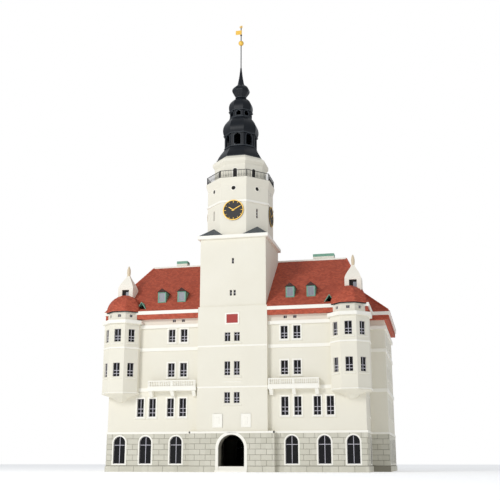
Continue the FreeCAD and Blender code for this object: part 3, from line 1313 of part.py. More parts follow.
def window_surrounds():
    """The bands round the square-headed windows."""
    out = "surround_out"
    behind = ("building_depth", f"building_depth + {out}")
    bands = surrounds("front", FRONT_COLUMNS, (), "y", (f"-{out}", "0"))
    bands += surrounds("side", every_storey(("side_column",)), (), "x", ("front_half", f"front_half + {out}"))
    bands += surrounds("rear", every_storey(SIDE_COLUMNS), (), "x", (REAR_HALF, f"{REAR_HALF} + {out}"))
    back = surrounds("back", every_storey(BACK_COLUMNS), (), "y", behind)
    return group("window_surrounds", [pair("surround_pairs", group("surrounds_right", bands))] + back)


# ---- build, check and write ----

SUBPARTS = (
    front_walls, side_walls, setback_walls, back_wall, wing_floors, rear_floors, middle_floors,
    plinth, string_courses, eaves_skirt, eaves_gutter, main_roof, dormers, dormer_roofs, gablets, ridge_vents,
    turret_corbels, turret_walls, turret_cornices, turret_domes, corner_gables, balconies, balustrades,
    tower_piers, gate_arch, doorstep, tower_front_wall, tower_side_walls, tower_back_wall, tower_floors,
    tower_cornice, tower_corner_roofs, tower_panels, red_panel, tower_octagon, clock_faces, hour_hand,
    minute_hand, fixed_clock_hands, gallery_floor, gallery_railing, gallery_drum, spire_skirt, lantern_lower,
    bell_roof_lower, lantern_upper, bell_roof_upper, spire_onion, vane_rod, gilt_ball, gilt_star,
    weather_vane, window_glass, tower_glass, arch_surrounds, window_surrounds,
)

subparts = []
for make in SUBPARTS:
    subpart = make()
    subpart.Label = make.__name__
    subparts.append(subpart)
doc.recompute()

for item in doc.Objects:
    if "Invalid" in item.State or "Error" in item.State:
        raise RuntimeError(f"{item.Name} failed to build: {item.State}")
for item in subparts:
    if item.Shape.isNull() or not item.Shape.isValid():
        raise RuntimeError(f"{item.Label} has no valid shape")

os.makedirs("parts", exist_ok=True)
for item in subparts:
    item.Shape.exportStep(f"parts/{item.Label}.step")
    print(f"{item.Label}: {len(item.Shape.Solids)} solids, {item.Shape.Volume / 1e9:.3f} m3")
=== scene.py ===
# %% [markdown]
# # A town hall with a clock tower, as a scale model
# The hard shape comes measured from CAD and is loaded first. Everything made here sits on it: stone
# facing, roof tiles, window bars, balusters, clock ornaments and the finishes of all surfaces.
# Each part first says what it is on the real building, then how it is made.

# %% Load the measured model
import math

import bpy
from mathutils import Matrix, Vector


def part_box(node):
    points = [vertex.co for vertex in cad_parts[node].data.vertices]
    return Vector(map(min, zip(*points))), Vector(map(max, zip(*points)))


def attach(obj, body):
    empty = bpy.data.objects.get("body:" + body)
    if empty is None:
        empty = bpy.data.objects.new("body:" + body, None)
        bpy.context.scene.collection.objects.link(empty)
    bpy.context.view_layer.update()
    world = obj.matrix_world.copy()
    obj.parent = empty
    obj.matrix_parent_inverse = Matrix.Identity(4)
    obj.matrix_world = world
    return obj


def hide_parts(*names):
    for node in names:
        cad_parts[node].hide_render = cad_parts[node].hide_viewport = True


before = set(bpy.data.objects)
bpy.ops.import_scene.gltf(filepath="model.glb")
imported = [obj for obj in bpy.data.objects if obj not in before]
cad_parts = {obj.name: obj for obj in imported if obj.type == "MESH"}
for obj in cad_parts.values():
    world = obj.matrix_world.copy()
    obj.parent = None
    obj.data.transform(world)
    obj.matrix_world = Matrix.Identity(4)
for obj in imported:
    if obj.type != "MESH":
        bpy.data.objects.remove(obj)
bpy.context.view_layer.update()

# %% [markdown]
# ## Levels and faces
# The levels and wall faces are read from the CAD nodes, so that every piece lands on the wall it belongs
# to. Openings leave no node of their own, so their sizes are written out as named lengths in metres.

# %% Read the levels and wall faces
FRONT_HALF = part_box("front_walls")[1].x
REAR_HALF, BACK_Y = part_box("back_wall")[1].x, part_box("back_wall")[1].y
SETBACK_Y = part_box("setback_walls")[0].y
PLINTH_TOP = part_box("plinth")[1].z
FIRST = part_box("tower_piers")[1].z
GATE_HALF, GATE_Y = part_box("tower_piers")[1].x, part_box("tower_piers")[0].y
SECOND, THIRD = 5.95, 8.9
EAVES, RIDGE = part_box("eaves_gutter")[1].z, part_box("main_roof")[1].z
LOWER_HALF, LOWER_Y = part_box("tower_front_wall")[1].x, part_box("tower_front_wall")[0].y
TOWER_Y = LOWER_Y + LOWER_HALF
SHAFT_CORNICE_OUT, TURRET_IN, STRING_HIGH = 0.2, 0.97, 0.12
UPPER_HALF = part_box("tower_cornice")[1].x - SHAFT_CORNICE_OUT
UPPER_Y = TOWER_Y - UPPER_HALF
OCTAGON_Z, OCTAGON_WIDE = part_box("tower_octagon")[0].z, 2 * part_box("tower_octagon")[1].x
GALLERY_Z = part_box("gallery_floor")[1].z
TURRET_X, TURRET_Y = FRONT_HALF - TURRET_IN, 0.125
DOME_Z, DOME_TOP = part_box("turret_domes")[0].z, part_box("turret_domes")[1].z
BAND_LOW, BAND_TOP, BAND_OUT = FIRST - 0.16, FIRST - 0.02, 0.06
print(f"walls {FRONT_HALF:.3f} and {REAR_HALF:.3f}, eaves {EAVES:.3f}, ridge {RIDGE:.3f}, "
      f"gallery {GALLERY_Z:.3f}")

# %% Sizes of the openings
WINDOW_WIDE = 0.52
STOREYS = {"first": (3.88, 5.18), "second": (6.735, 7.74), "third": (9.285, 10.235)}
INNER_X, OUTER_X, LIGHT_X = (3.757, 4.687), (6.065, 6.98), (3.84, 4.55)
ARCH_X, ARCH_WIDE, ARCH_SILL, ARCH_SPRING, ARCH_TRANSOM = (4.22, 6.515, 8.505), 0.9, 0.57, 2.04, 1.875
SIDE_Y = 2.7
REAR_PITCH, BACK_PITCH = 2.05, 2.3
REAR_Y = [(SETBACK_Y + BACK_Y) / 2 + REAR_PITCH * step for step in (-1.5, -0.5, 0.5, 1.5)]
BACK_X = [BACK_PITCH * step for step in range(-4, 5)]
SURROUND = 0.1
TURRET_WIDE, TURRET_DRUM = 2.725, 2.3
LIGHT_WIDE, FRONT_LIGHTS, TURRET_LIGHTS = 0.25, (10.775, 10.99), (11.15, 11.365)
TOWER_PAIR_WIDE, TOWER_PAIR_X = 0.425, (-0.35, 0.35)
TOWER_LEVELS = {"low": (4.75, 5.525, (0.24, 0.48)), "middle": (6.725, 7.725, (0.22, 0.44)),
                "high": (9.175, 9.825, (0.72,))}
SLIT_WIDE, SHAFT_SLIT, OCTAGON_SLIT = 0.175, (12.55, 12.98), (18.6, 19.35)
SHAFT_SLITS = ((-0.14, 0), (0.14, 0), (0, 2.425))
print("window columns:", len(INNER_X + OUTER_X), "at the front,", len(BACK_X), "at the back")

# %% [markdown]
# ## Hand tools
# Every new piece starts as a primitive, is shaped with Blender's own operators, and ends with its place
# in its mesh and its object at the origin. These helpers keep the steps short: selecting, applying a
# modifier, and copying a finished shape to many places.

# %% Selecting and finishing
def only(*pieces):
    """Select these objects alone and make the first one active."""
    bpy.ops.object.select_all(action="DESELECT")
    for piece in pieces:
        piece.select_set(True)
    bpy.context.view_layer.objects.active = pieces[0]


def settle(name):
    """Name the active object and move its place into its mesh."""
    piece = bpy.context.object
    bpy.ops.object.transform_apply(location=True, rotation=True, scale=True)
    piece.name = name
    piece.data.name = name
    return piece


def modify(piece, kind, **settings):
    """Add a modifier, set it and apply it."""
    only(piece)
    bpy.ops.object.modifier_add(type=kind)
    modifier = piece.modifiers[-1]
    for setting, value in settings.items():
        setattr(modifier, setting, value)
    bpy.ops.object.modifier_apply(modifier=modifier.name)
    return piece


def ease(piece, width, segments=1):
    """Round off the sharp edges a little, as every real edge is."""
    return modify(piece, "BEVEL", width=width, segments=segments, limit_method="ANGLE",
                  angle_limit=math.radians(35))


# %% Picking parts of a mesh, and primitives
def pick(piece, test, kind="faces"):
    """Enter edit mode with the faces, edges or vertices selected whose middle and normal pass the test."""
    only(piece)
    bpy.ops.object.mode_set(mode="EDIT")
    bpy.ops.mesh.select_mode(type={"faces": "FACE", "edges": "EDGE", "points": "VERT"}[kind])
    bpy.ops.mesh.select_all(action="DESELECT")
    bpy.ops.object.mode_set(mode="OBJECT")
    mesh = piece.data
    if kind == "faces":
        for face in mesh.polygons:
            face.select = test(face.center, face.normal)
    elif kind == "edges":
        for edge in mesh.edges:
            ends = [mesh.vertices[index].co for index in edge.vertices]
            edge.select = test((ends[0] + ends[1]) / 2, ends[1] - ends[0])
    else:
        for point in mesh.vertices:
            point.select = test(point.co, point.normal)
    bpy.ops.object.mode_set(mode="EDIT")


def done():
    """Leave edit mode."""
    bpy.ops.object.mode_set(mode="OBJECT")


def block(name, low, high, eased=0.0):
    """A block between two corners, with eased edges."""
    low, high = Vector(low), Vector(high)
    bpy.ops.mesh.primitive_cube_add(size=1, location=(low + high) / 2, scale=high - low)
    piece = settle(name)
    return ease(piece, eased) if eased else piece


def disc(name, vertices, radius, z=0.0, turn=(math.radians(90), 0, 0)):
    """A flat regular plate on the vertical axis, which looks to the front unless it is turned."""
    bpy.ops.mesh.primitive_circle_add(vertices=vertices, radius=radius, fill_type="NGON",
                                      location=(0, 0, z), rotation=turn)
    return settle(name)


def repeated(piece, count, step):
    """Repeat a shape at a fixed step with an Array."""
    return modify(piece, "ARRAY", count=count, use_relative_offset=False, use_constant_offset=True,
                  constant_offset_displace=step)


def bisect(piece, place, normal, clear=False):
    """Cut the whole mesh by a plane, and close it where the far side is thrown away."""
    only(piece)
    bpy.ops.object.mode_set(mode="EDIT")
    bpy.ops.mesh.select_all(action="SELECT")
    bpy.ops.mesh.bisect(plane_co=place, plane_no=normal, clear_outer=clear, use_fill=clear)
    done()
    return piece


# %% Copies
def joined(name, pieces):
    """One object out of several."""
    only(*pieces)
    if len(pieces) > 1:
        bpy.ops.object.join()
    piece = bpy.context.object
    piece.name = name
    piece.data.name = name
    return piece


def copies(name, source, places):
    """Copy a modelled shape to many places, each copy with a mesh of its own, and join them."""
    made = []
    for place in places:
        piece = source.copy()
        piece.data = source.data.copy()
        piece.data.transform(place)
        bpy.context.collection.objects.link(piece)
        made.append(piece)
    bpy.data.objects.remove(source)
    return joined(name, made)


def shift(x=0.0, y=0.0, z=0.0):
    """A move without a turn."""
    return Matrix.Translation((x, y, z))


def facing(angle, x, y, z=0.0):
    """Turn a shape that looks to the front about the vertical, and set it at a place."""
    return shift(x, y, z) @ Matrix.Rotation(math.radians(angle), 4, "Z")


def around(angles, x, y, reach):
    """Places on the sides of an octagon: turned to each side, at its distance from the axis."""
    return [facing(angle, x, y) @ shift(0, -reach) for angle in angles]


FACETS = [45 * step for step in range(8)]
print("tools ready")

# %% [markdown]
# ## Shader sums
# A finish is a small sum of noises and masks. The class below wraps one socket, so that the sum can be
# written in Python: adding or multiplying wrapped sockets adds Math nodes. Every other node is made by
# its one method, which sets the node's settings first and then its inputs.

# %% Wrap a shader socket
def operation(name, swapped=False):
    """A Python operator that adds a Math node."""
    def combine(self, other):
        return self.sum(name, other, self) if swapped else self.sum(name, self, other)
    return combine


class Shade:
    """A socket of a material that can be added, multiplied and compared."""

    def __init__(self, tree, socket=None):
        self.tree = tree
        self.socket = socket

    def node(self, kind, settings=None, inputs=None, output=0):
        """Add a node: its settings first, then the values or links of its inputs."""
        made = self.tree.nodes.new(kind)
        for setting, value in (settings or {}).items():
            setattr(made, setting, value)
        for name, value in (inputs or {}).items():
            if isinstance(value, Shade):
                self.tree.links.new(value.socket, made.inputs[name])
            else:
                made.inputs[name].default_value = value
        return Shade(self.tree, made.outputs[output])

    def sum(self, operation, *terms):
        """A Math node."""
        return self.node("ShaderNodeMath", {"operation": operation}, dict(enumerate(terms)))

    __add__, __radd__ = operation("ADD"), operation("ADD", True)
    __sub__, __rsub__ = operation("SUBTRACT"), operation("SUBTRACT", True)
    __mul__, __rmul__ = operation("MULTIPLY"), operation("MULTIPLY", True)
    __truediv__ = operation("DIVIDE")
    __gt__, __lt__ = operation("GREATER_THAN"), operation("LESS_THAN")


# %% Colours, noises and mixes
def colour(red, green, blue):
    """A screen colour of 0 to 255 as the linear colour that a shader takes."""
    return tuple(((part / 255 + 0.055) / 1.055) ** 2.4 for part in (red, green, blue)) + (1.0,)


def mix(factor, first, second):
    """Blend two colours."""
    return factor.node("ShaderNodeMix", {"data_type": "RGBA"}, {0: factor, 6: first, 7: second}, 2)


def place_of(shade):
    """The place on the object, in metres."""
    return shade.node("ShaderNodeTexCoord", output=3)


def along(place):
    """The three coordinates of a place."""
    return [place.node("ShaderNodeSeparateXYZ", None, {0: place}, axis) for axis in range(3)]


def noise(place, scale, detail=3.0):
    """A soft noise between 0 and 1, with features of about one over the scale in metres."""
    return place.node("ShaderNodeTexNoise", None, {"Vector": place, "Scale": scale, "Detail": detail})


def bump(height, strength, distance):
    """Turn a height into a normal."""
    return height.node("ShaderNodeBump", None,
                       {"Strength": strength, "Distance": distance, "Height": height})


def finish(name, recipe, **constants):
    """A material from a recipe that returns what varies; constants go on the shader's own sockets."""
    material = bpy.data.materials.new(name)
    material.use_nodes = True
    tree = material.node_tree
    shader = tree.nodes["Principled BSDF"]
    for socket, value in constants.items():
        shader.inputs[socket.replace("_", " ")].default_value = value
    for socket, value in recipe(Shade(tree)).items():
        tree.links.new(value.socket, shader.inputs[socket])
    return material


def dressed(piece, material, body="building", smooth=False):
    """Give a piece its finish and its slot, and let it ride on its body."""
    piece.data.materials.clear()
    piece.data.materials.append(material)
    only(piece)
    if smooth:
        bpy.ops.object.shade_smooth_by_angle(angle=math.radians(32))
    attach(piece, body)
    print(f"{piece.name}: {len(piece.data.polygons)} faces")
    return piece

# %% [markdown]
# ## Finishes
# The plaster is a warm white with a faint mottle and a fine grain. The rusticated storey is a grey-green
# stone, each block a shade of its own. Roof tiles vary tile by tile, the copper is verdigris, and the
# spire is dark sheet metal. Patterns read the place on the object, so they stay put from any side.

# %% Plaster, trim and the bedding behind the stone
def plaster_recipe(shade):
    """Warm white render, greyer where the stone bedding shows on the ground storey."""
    place = place_of(shade)
    mottle = noise(place, 0.55)
    grain = noise(place, 34.0, 2.0)
    wall = mix(mottle * 0.9, colour(229, 224, 208), colour(237, 233, 219))
    bedding = mix(grain, colour(132, 128, 114), colour(152, 148, 134))
    low = along(place)[2] < BAND_TOP
    return {"Base Color": mix(low, wall, bedding), "Roughness": 0.78 + 0.12 * mottle,
            "Normal": bump(grain, 0.12, 0.006)}


def trim_recipe(shade):
    """The whiter paint of mouldings, with a little dust in its grain."""
    place = place_of(shade)
    soft = noise(place, 1.3)
    grain = noise(place, 60.0, 2.0)
    return {"Base Color": mix(soft, colour(244, 240, 228), colour(250, 248, 240)),
            "Roughness": 0.6 + 0.15 * grain, "Normal": bump(grain, 0.08, 0.004)}


plaster = finish("plaster_finish", plaster_recipe)
trim = finish("trim_finish", trim_recipe)
print("wall finishes:", plaster.name, trim.name)

# %% Stone blocks
def stone_recipe(shade):
    """Tooled stone: a tone of its own for each block, from its bed and its place along the wall."""
    place = place_of(shade)
    east, north, up = along(place)
    bed = ((up - PLINTH_TOP) / COURSE).sum("FLOOR", (up - PLINTH_TOP) / COURSE)
    run = (east + north) / BLOCK_LONG + bed * 0.5
    cell = run.node("ShaderNodeCombineXYZ", None, {0: run.sum("FLOOR", run), 1: bed})
    tone = cell.node("ShaderNodeTexWhiteNoise", {"noise_dimensions": "2D"}, {"Vector": cell})
    grain = noise(place, 22.0, 5.0)
    body = mix(tone, colour(202, 199, 184), colour(216, 213, 199))
    return {"Base Color": mix(grain * 0.35, body, colour(186, 181, 165)), "Roughness": 0.8 + 0.12 * grain,
            "Normal": bump(grain, 0.25, 0.01)}


COURSES = 6
COURSE = (FIRST - STRING_HIGH - PLINTH_TOP) / COURSES
BLOCK_LONG = 0.8
stone = finish("stone_finish", stone_recipe)
print(f"stone courses of {COURSE:.3f} m, blocks of {BLOCK_LONG} m")

# %% Tiles, copper and dark metals
def tile_recipe(shade):
    """Plain clay tiles: a row of joints up and down, and a tone for every tile."""
    place = place_of(shade)
    east, north, up = along(place)
    facing_side = along(shade.node("ShaderNodeTexCoord", output=1))[0]
    sideways = facing_side.sum("ABSOLUTE", facing_side) > 0.6
    run = (east + sideways * (north - east)) / TILE_WIDE
    bed = up / TILE_UP
    row = bed.sum("FLOOR", bed)
    shifted = run + row * 0.5
    column = shifted.sum("FLOOR", shifted)
    cell = run.node("ShaderNodeCombineXYZ", None, {0: column, 1: row})
    tone = cell.node("ShaderNodeTexWhiteNoise", {"noise_dimensions": "2D"}, {"Vector": cell})
    edge = shifted.sum("FRACT", shifted)
    joint = edge < 0.08
    weather = noise(place, 0.8)
    body = mix(tone, colour(178, 78, 54), colour(212, 108, 80))
    aged = mix(weather * 0.4, body, colour(168, 80, 60))
    return {"Base Color": mix(joint * 0.45, aged, colour(120, 52, 40)), "Roughness": 0.68 + 0.2 * tone,
            "Normal": bump(1 - joint, 0.35, 0.01)}


def copper_recipe(shade):
    """Old copper: pale green with streaks."""
    place = place_of(shade)
    patches = noise(place, 5.0)
    fine = noise(place, 45.0, 4.0)
    body = mix(patches, colour(98, 154, 132), colour(132, 182, 160))
    return {"Base Color": mix(fine * 0.35, body, colour(78, 128, 110)), "Roughness": 0.5 + 0.25 * fine,
            "Normal": bump(fine, 0.15, 0.006)}


def slate_recipe(shade):
    """Dark painted sheet metal with a soft, slightly wavy sheen."""
    place = place_of(shade)
    wave = noise(place, 3.0)
    fine = noise(place, 30.0, 3.0)
    return {"Base Color": mix(wave, colour(8, 12, 18), colour(16, 22, 30)),
            "Roughness": 0.24 + 0.16 * fine, "Normal": bump(wave, 0.12, 0.03)}


TILE_WIDE, TILE_UP = 0.16, 0.09
tiles = finish("tile_finish", tile_recipe)
copper = finish("copper_finish", copper_recipe, Metallic=0.25)
slate = finish("slate_finish", slate_recipe, Specular_IOR_Level=0.3)
print("roof finishes:", tiles.name, copper.name, slate.name)

# %% Small finishes from one pattern
def speckled(first, second, scale, rough, depth=0.1):
    """A recipe for a painted or metal surface: two near colours, a fine grain and its roughness."""
    def recipe(shade):
        place = place_of(shade)
        fine = noise(place, scale)
        return {"Base Color": mix(fine, colour(*first), colour(*second)),
                "Roughness": rough + 0.15 * fine, "Normal": bump(fine, depth, 0.004)}
    return recipe


lead = finish("lead_finish", speckled((34, 39, 45), (52, 58, 64), 12.0, 0.5))
iron = finish("iron_finish", speckled((42, 42, 44), (62, 61, 60), 40.0, 0.5), Metallic=0.4)
gold = finish("gold_finish", speckled((240, 186, 70), (252, 212, 104), 30.0, 0.35), Metallic=0.35)
dial = finish("dial_finish", speckled((44, 43, 42), (58, 56, 54), 18.0, 0.6))
red = finish("red_panel_finish", speckled((160, 54, 50), (174, 64, 58), 14.0, 0.6))
pane = finish("pane_finish", speckled((8, 8, 10), (22, 22, 25), 2.2, 0.15, 0.02),
              Specular_IOR_Level=0.25)
bars = finish("window_bar_finish", speckled((182, 179, 188), (206, 203, 212), 25.0, 0.55))
grey_pane = finish("grey_pane_finish", speckled((122, 126, 134), (146, 150, 158), 5.0, 0.3, 0.03))
deck = finish("broach_finish", speckled((66, 72, 74), (88, 93, 95), 9.0, 0.6))
floorboard = finish("floor_finish", speckled((88, 80, 70), (110, 101, 90), 7.0, 0.8))
# This near-black finish is painted shade, for doors, panes, rings and sheets that stand where shade falls.
shadow = finish("painted_shade_finish", speckled((22, 20, 20), (34, 31, 30), 12.0, 0.85))
beige = finish("ledge_finish", speckled((206, 188, 150), (226, 206, 166), 16.0, 0.6))
# The dormer roofs take the tile's red-brown made far darker: painted shade on their small tiled roofs.
shaded_tile = finish("dormer_roof_painted_shade_finish", speckled((54, 34, 30), (74, 46, 40), 12.0, 0.75))


def pavilion_recipe(shade):
    """White render below, and a finial of a warmer stone."""
    place = place_of(shade)
    fine = noise(place, 16.0)
    high = along(place)[2] > FINIAL_FOOT
    white = mix(fine, colour(240, 234, 220), colour(246, 241, 229))
    return {"Base Color": mix(high, white, mix(fine, colour(206, 188, 158), colour(226, 210, 182))),
            "Roughness": 0.72 + 0.15 * fine, "Normal": bump(fine, 0.1, 0.004)}


def vent_recipe(shade):
    """A pale base with a copper hood."""
    place = place_of(shade)
    fine = noise(place, 14.0)
    hood = along(place)[2] > RIDGE + VENT_BASE
    pale = mix(fine, colour(226, 222, 208), colour(240, 236, 224))
    return {"Base Color": mix(hood, pale, mix(fine, colour(104, 156, 136), colour(132, 180, 158))),
            "Roughness": 0.6 + 0.2 * fine, "Normal": bump(fine, 0.12, 0.005)}


FINIAL_FOOT, VENT_BASE = 14.74, 0.34
pavilion = finish("pavilion_finish", pavilion_recipe)
vent = finish("ridge_vent_finish", vent_recipe)
print("small finishes ready")

# %% [markdown]
# ## Finishes of the CAD nodes
# The walls, floors, cornices and roofs keep their CAD shapes and only take a finish. Their material slots
# are filled here; their meshes are never touched.

# %% Dress the CAD nodes
NODE_FINISHES = {
    plaster: ("plinth", "front_walls", "side_walls", "setback_walls", "back_wall", "turret_walls",
              "turret_corbels", "tower_piers", "gate_arch", "tower_front_wall", "tower_side_walls",
              "tower_back_wall", "tower_octagon", "gallery_floor", "gallery_drum"),
    pavilion: ("corner_gables",),
    vent: ("ridge_vents",),
    trim: ("string_courses", "eaves_gutter", "turret_cornices", "balconies", "balustrades", "tower_cornice",
           "tower_panels", "arch_surrounds", "window_surrounds", "doorstep"),
    tiles: ("main_roof", "turret_domes", "eaves_skirt"),
    copper: ("dormers", "gablets"),
    shaded_tile: ("dormer_roofs",),
    slate: ("spire_skirt", "lantern_lower", "bell_roof_lower", "lantern_upper", "bell_roof_upper",
            "spire_onion"),
    deck: ("tower_corner_roofs",),
    iron: ("gallery_railing", "vane_rod"),
    gold: ("gilt_ball", "gilt_star", "weather_vane", "hour_hand", "minute_hand", "fixed_clock_hands"),
    dial: ("clock_faces",),
    red: ("red_panel",),
    pane: ("window_glass", "tower_glass"),
    floorboard: ("wing_floors", "rear_floors", "middle_floors", "tower_floors"),
}
for material, names in NODE_FINISHES.items():
    for name in names:
        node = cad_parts[name]
        node.data.materials.clear()
        node.data.materials.append(material)
print("dressed", sum(len(names) for names in NODE_FINISHES.values()), "of", len(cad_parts), "nodes")

# %% [markdown]
# ## Stone facing
# The ground storey is faced with large smooth blocks in even courses, each course shifted by half a
# block, with thin dark joints. A shader could only draw the joints, so the blocks are real: one block
# is modelled, an Array makes a course, a second Array stacks the courses, the ends are cut off flat,
# and the arches are taken out with a Boolean.

# %% An arch-shaped solid, used for cutting and for glass
def arched_outline(name, wide, foot, spring):
    """A flat round-headed shape that looks to the front, centred on x = 0."""
    piece = disc(name, 24, wide / 2, spring)
    bisect(piece, (0, 0, spring), (0, 0, -1), clear=True)
    pick(piece, lambda middle, run: abs(middle.z - spring) < 1e-4 and abs(run.z) < 1e-4, "edges")
    bpy.ops.mesh.extrude_region_move(TRANSFORM_OT_translate={"value": (0, 0, foot - spring)})
    bpy.ops.mesh.select_all(action="SELECT")
    bpy.ops.mesh.remove_doubles(threshold=0.0005)
    bpy.ops.mesh.dissolve_limited(angle_limit=math.radians(0.5))
    bpy.ops.mesh.normals_make_consistent(inside=False)
    done()
    if piece.data.polygons[0].normal.y > 0:
        piece.data.flip_normals()
    return piece


def arched_block(name, wide, foot, spring, near, far):
    """The same shape given a thickness from near to far."""
    piece = arched_outline(name, wide, foot, spring)
    modify(piece, "SOLIDIFY", thickness=far - near, offset=-1)
    piece.data.transform(shift(y=near - min(point.co.y for point in piece.data.vertices)))
    return piece


# %% Walls of blocks
JOINT, FACING = 0.022, 0.03


def ashlar(name, start, long, arches=(), place=Matrix()):
    """Courses of blocks from x = start, with round-headed holes, that look to the front until placed."""
    rows = []
    for lift in (0, 1):
        left = start - BLOCK_LONG * (1 + 0.5 * lift)
        brick = block("one_block", (left + JOINT / 2, -FACING, PLINTH_TOP + JOINT),
                      (left + BLOCK_LONG - JOINT / 2, 0.012, PLINTH_TOP + COURSE), 0.008)
        brick.data.transform(shift(z=COURSE * lift))
        rows.append(repeated(brick, math.ceil(long / BLOCK_LONG) + 2, (BLOCK_LONG, 0, 0)))
    wall = repeated(joined(name, rows), COURSES // 2, (0, 0, 2 * COURSE))
    bisect(wall, (start, 0, 0), (-1, 0, 0), clear=True)
    bisect(wall, (start + long, 0, 0), (1, 0, 0), clear=True)
    if arches:
        holes = []
        for middle, wide, foot, spring, grow in arches:
            holes.append(arched_block("hole", wide + 2 * grow, foot - grow, spring, -1, 1))
            holes[-1].data.transform(shift(x=middle))
        cutter = joined("holes", holes)
        modify(wall, "BOOLEAN", object=cutter, operation="DIFFERENCE", solver="EXACT")
        bpy.data.objects.remove(cutter)
    wall.data.transform(place)
    return wall


def arches_at(columns):
    """Ground-floor windows with their surrounds, as holes in a facing."""
    return [(x, ARCH_WIDE, ARCH_SILL, ARCH_SPRING, SURROUND - 0.005) for x in columns]


# %% Lay the facing
DOOR_HALF, DOOR_SPRING, DOOR_BAND = 0.94, 1.62, 0.2
wing = FRONT_HALF - GATE_HALF
walls = [ashlar("facing_right", GATE_HALF, wing, arches_at(ARCH_X)),
         ashlar("facing_left", -FRONT_HALF, wing, arches_at([-x for x in ARCH_X]))]
walls.append(ashlar("facing_gate", -GATE_HALF - FACING, 2 * (GATE_HALF + FACING),
                    [(0, 2 * DOOR_HALF, -1, DOOR_SPRING, DOOR_BAND - 0.005)], shift(y=GATE_Y)))
for side in (1, -1):
    walls += [
        ashlar("facing_reveal", GATE_Y if side > 0 else 0.0, -GATE_Y, (),
               facing(90 * side, side * GATE_HALF, 0)),
        ashlar("facing_side", -FACING if side > 0 else -SETBACK_Y, SETBACK_Y + FACING,
               arches_at([side * SIDE_Y]), facing(90 * side, side * FRONT_HALF, 0)),
        ashlar("facing_rear", SETBACK_Y if side > 0 else -BACK_Y - FACING, BACK_Y - SETBACK_Y + FACING,
               arches_at([side * y for y in REAR_Y]), facing(90 * side, side * REAR_HALF, 0)),
        ashlar("facing_setback", FRONT_HALF if side > 0 else -REAR_HALF - FACING,
               REAR_HALF - FRONT_HALF + FACING, (), shift(y=SETBACK_Y))]
walls.append(ashlar("facing_back", -REAR_HALF, 2 * REAR_HALF, arches_at(BACK_X), facing(180, 0, BACK_Y)))
for wall in walls:
    wall.name = f"stone_{wall.name}"
    dressed(wall, stone)

# %% [markdown]
# ## Windows
# A window of the upper storeys is a casement of two lights: a tall upper pair and two rows of small
# panes below. The bars come from one flat plate: it is cut along its bars, every pane is inset and
# removed, and the grid that is left is given its thickness. The pane is a plate behind it with its edge
# turned in. Each size of window is modelled once and copied to its places.

# %% Bars and panes from an outline
BAR, BAR_DEEP, SET_BACK = 0.04, 0.035, 0.1


def glazing(name, outline, uprights, transoms, bar=BAR):
    """Bars of a window, made from its flat outline by cuts and insets; its front lies at y = 0."""
    for x in uprights:
        bisect(outline, (x, 0, 0), (1, 0, 0))
    for z in transoms:
        bisect(outline, (0, 0, z), (0, 0, 1))
    pick(outline, lambda middle, normal: True)
    bpy.ops.mesh.inset(thickness=bar / 2, depth=0, use_individual=True)
    bpy.ops.mesh.delete(type="FACE")
    bpy.ops.mesh.select_all(action="SELECT")
    bpy.ops.mesh.remove_doubles(threshold=0.0002)
    done()
    modify(outline, "SOLIDIFY", thickness=BAR_DEEP, offset=-1)
    outline.name = name
    return outline


def flat_outline(wide, foot, head):
    """A flat rectangle that looks to the front."""
    bpy.ops.mesh.primitive_plane_add(size=1, location=(0, 0, (foot + head) / 2),
                                     rotation=(math.radians(90), 0, 0))
    bpy.context.object.scale = (wide, head - foot, 1)
    return settle("outline")


def sash(name, outline):
    """A pane with its edge turned back, just behind the bars."""
    pick(outline, lambda middle, normal: True)
    bpy.ops.mesh.inset(thickness=0.02, depth=0.006)
    done()
    modify(outline, "SOLIDIFY", thickness=0.01, offset=-1)
    outline.data.transform(shift(y=BAR_DEEP * 0.8))
    outline.name = name
    return outline


def window_pair(wide, foot, head, shares=(0.22, 0.44), middle=True):
    """Bars and pane of one square-headed window."""
    high = head - foot
    transoms = [foot + share * high for share in shares]
    grid = glazing("bars", flat_outline(wide, foot, head), (0,) if middle else (), transoms)
    return grid, sash("pane", flat_outline(wide, foot, head))


def arched_pair(wide, foot, spring, transoms):
    """Bars and pane of one round-headed window."""
    grid = glazing("bars", arched_outline("bars", wide, foot, spring), (0,), transoms)
    return grid, sash("pane", arched_outline("pane", wide, foot, spring))


print("window tools ready")

# %% Set the windows
glass_pieces, bar_pieces = [], []


def set_windows(name, pair, places):
    """Copy a window to its places; the bars and the panes become a piece each."""
    bars_piece, pane_piece = pair
    bar_pieces.append(copies(f"bars_{name}", bars_piece, places))
    glass_pieces.append(copies(f"panes_{name}", pane_piece, places))


def wall_places(front, side, rear, back):
    """Places of windows, set back in the walls, on the front, both sides and the back."""
    places = [facing(0, x, SET_BACK) for x in front]
    for turn in (1, -1):
        places += [facing(90 * turn, turn * (FRONT_HALF - SET_BACK), y) for y in side]
        places += [facing(90 * turn, turn * (REAR_HALF - SET_BACK), y) for y in rear]
    return places + [facing(180, x, BACK_Y - SET_BACK) for x in back]


def turret_places(depth, wide=TURRET_WIDE):
    """Places on the three outer sides of both turrets."""
    return [place for side in (1, -1)
            for place in around((-45, 0, 45), side * TURRET_X, TURRET_Y, wide / 2 - depth)]


def both(columns):
    """The same columns on the left and on the right."""
    return [sign * x for sign in (-1, 1) for x in columns]


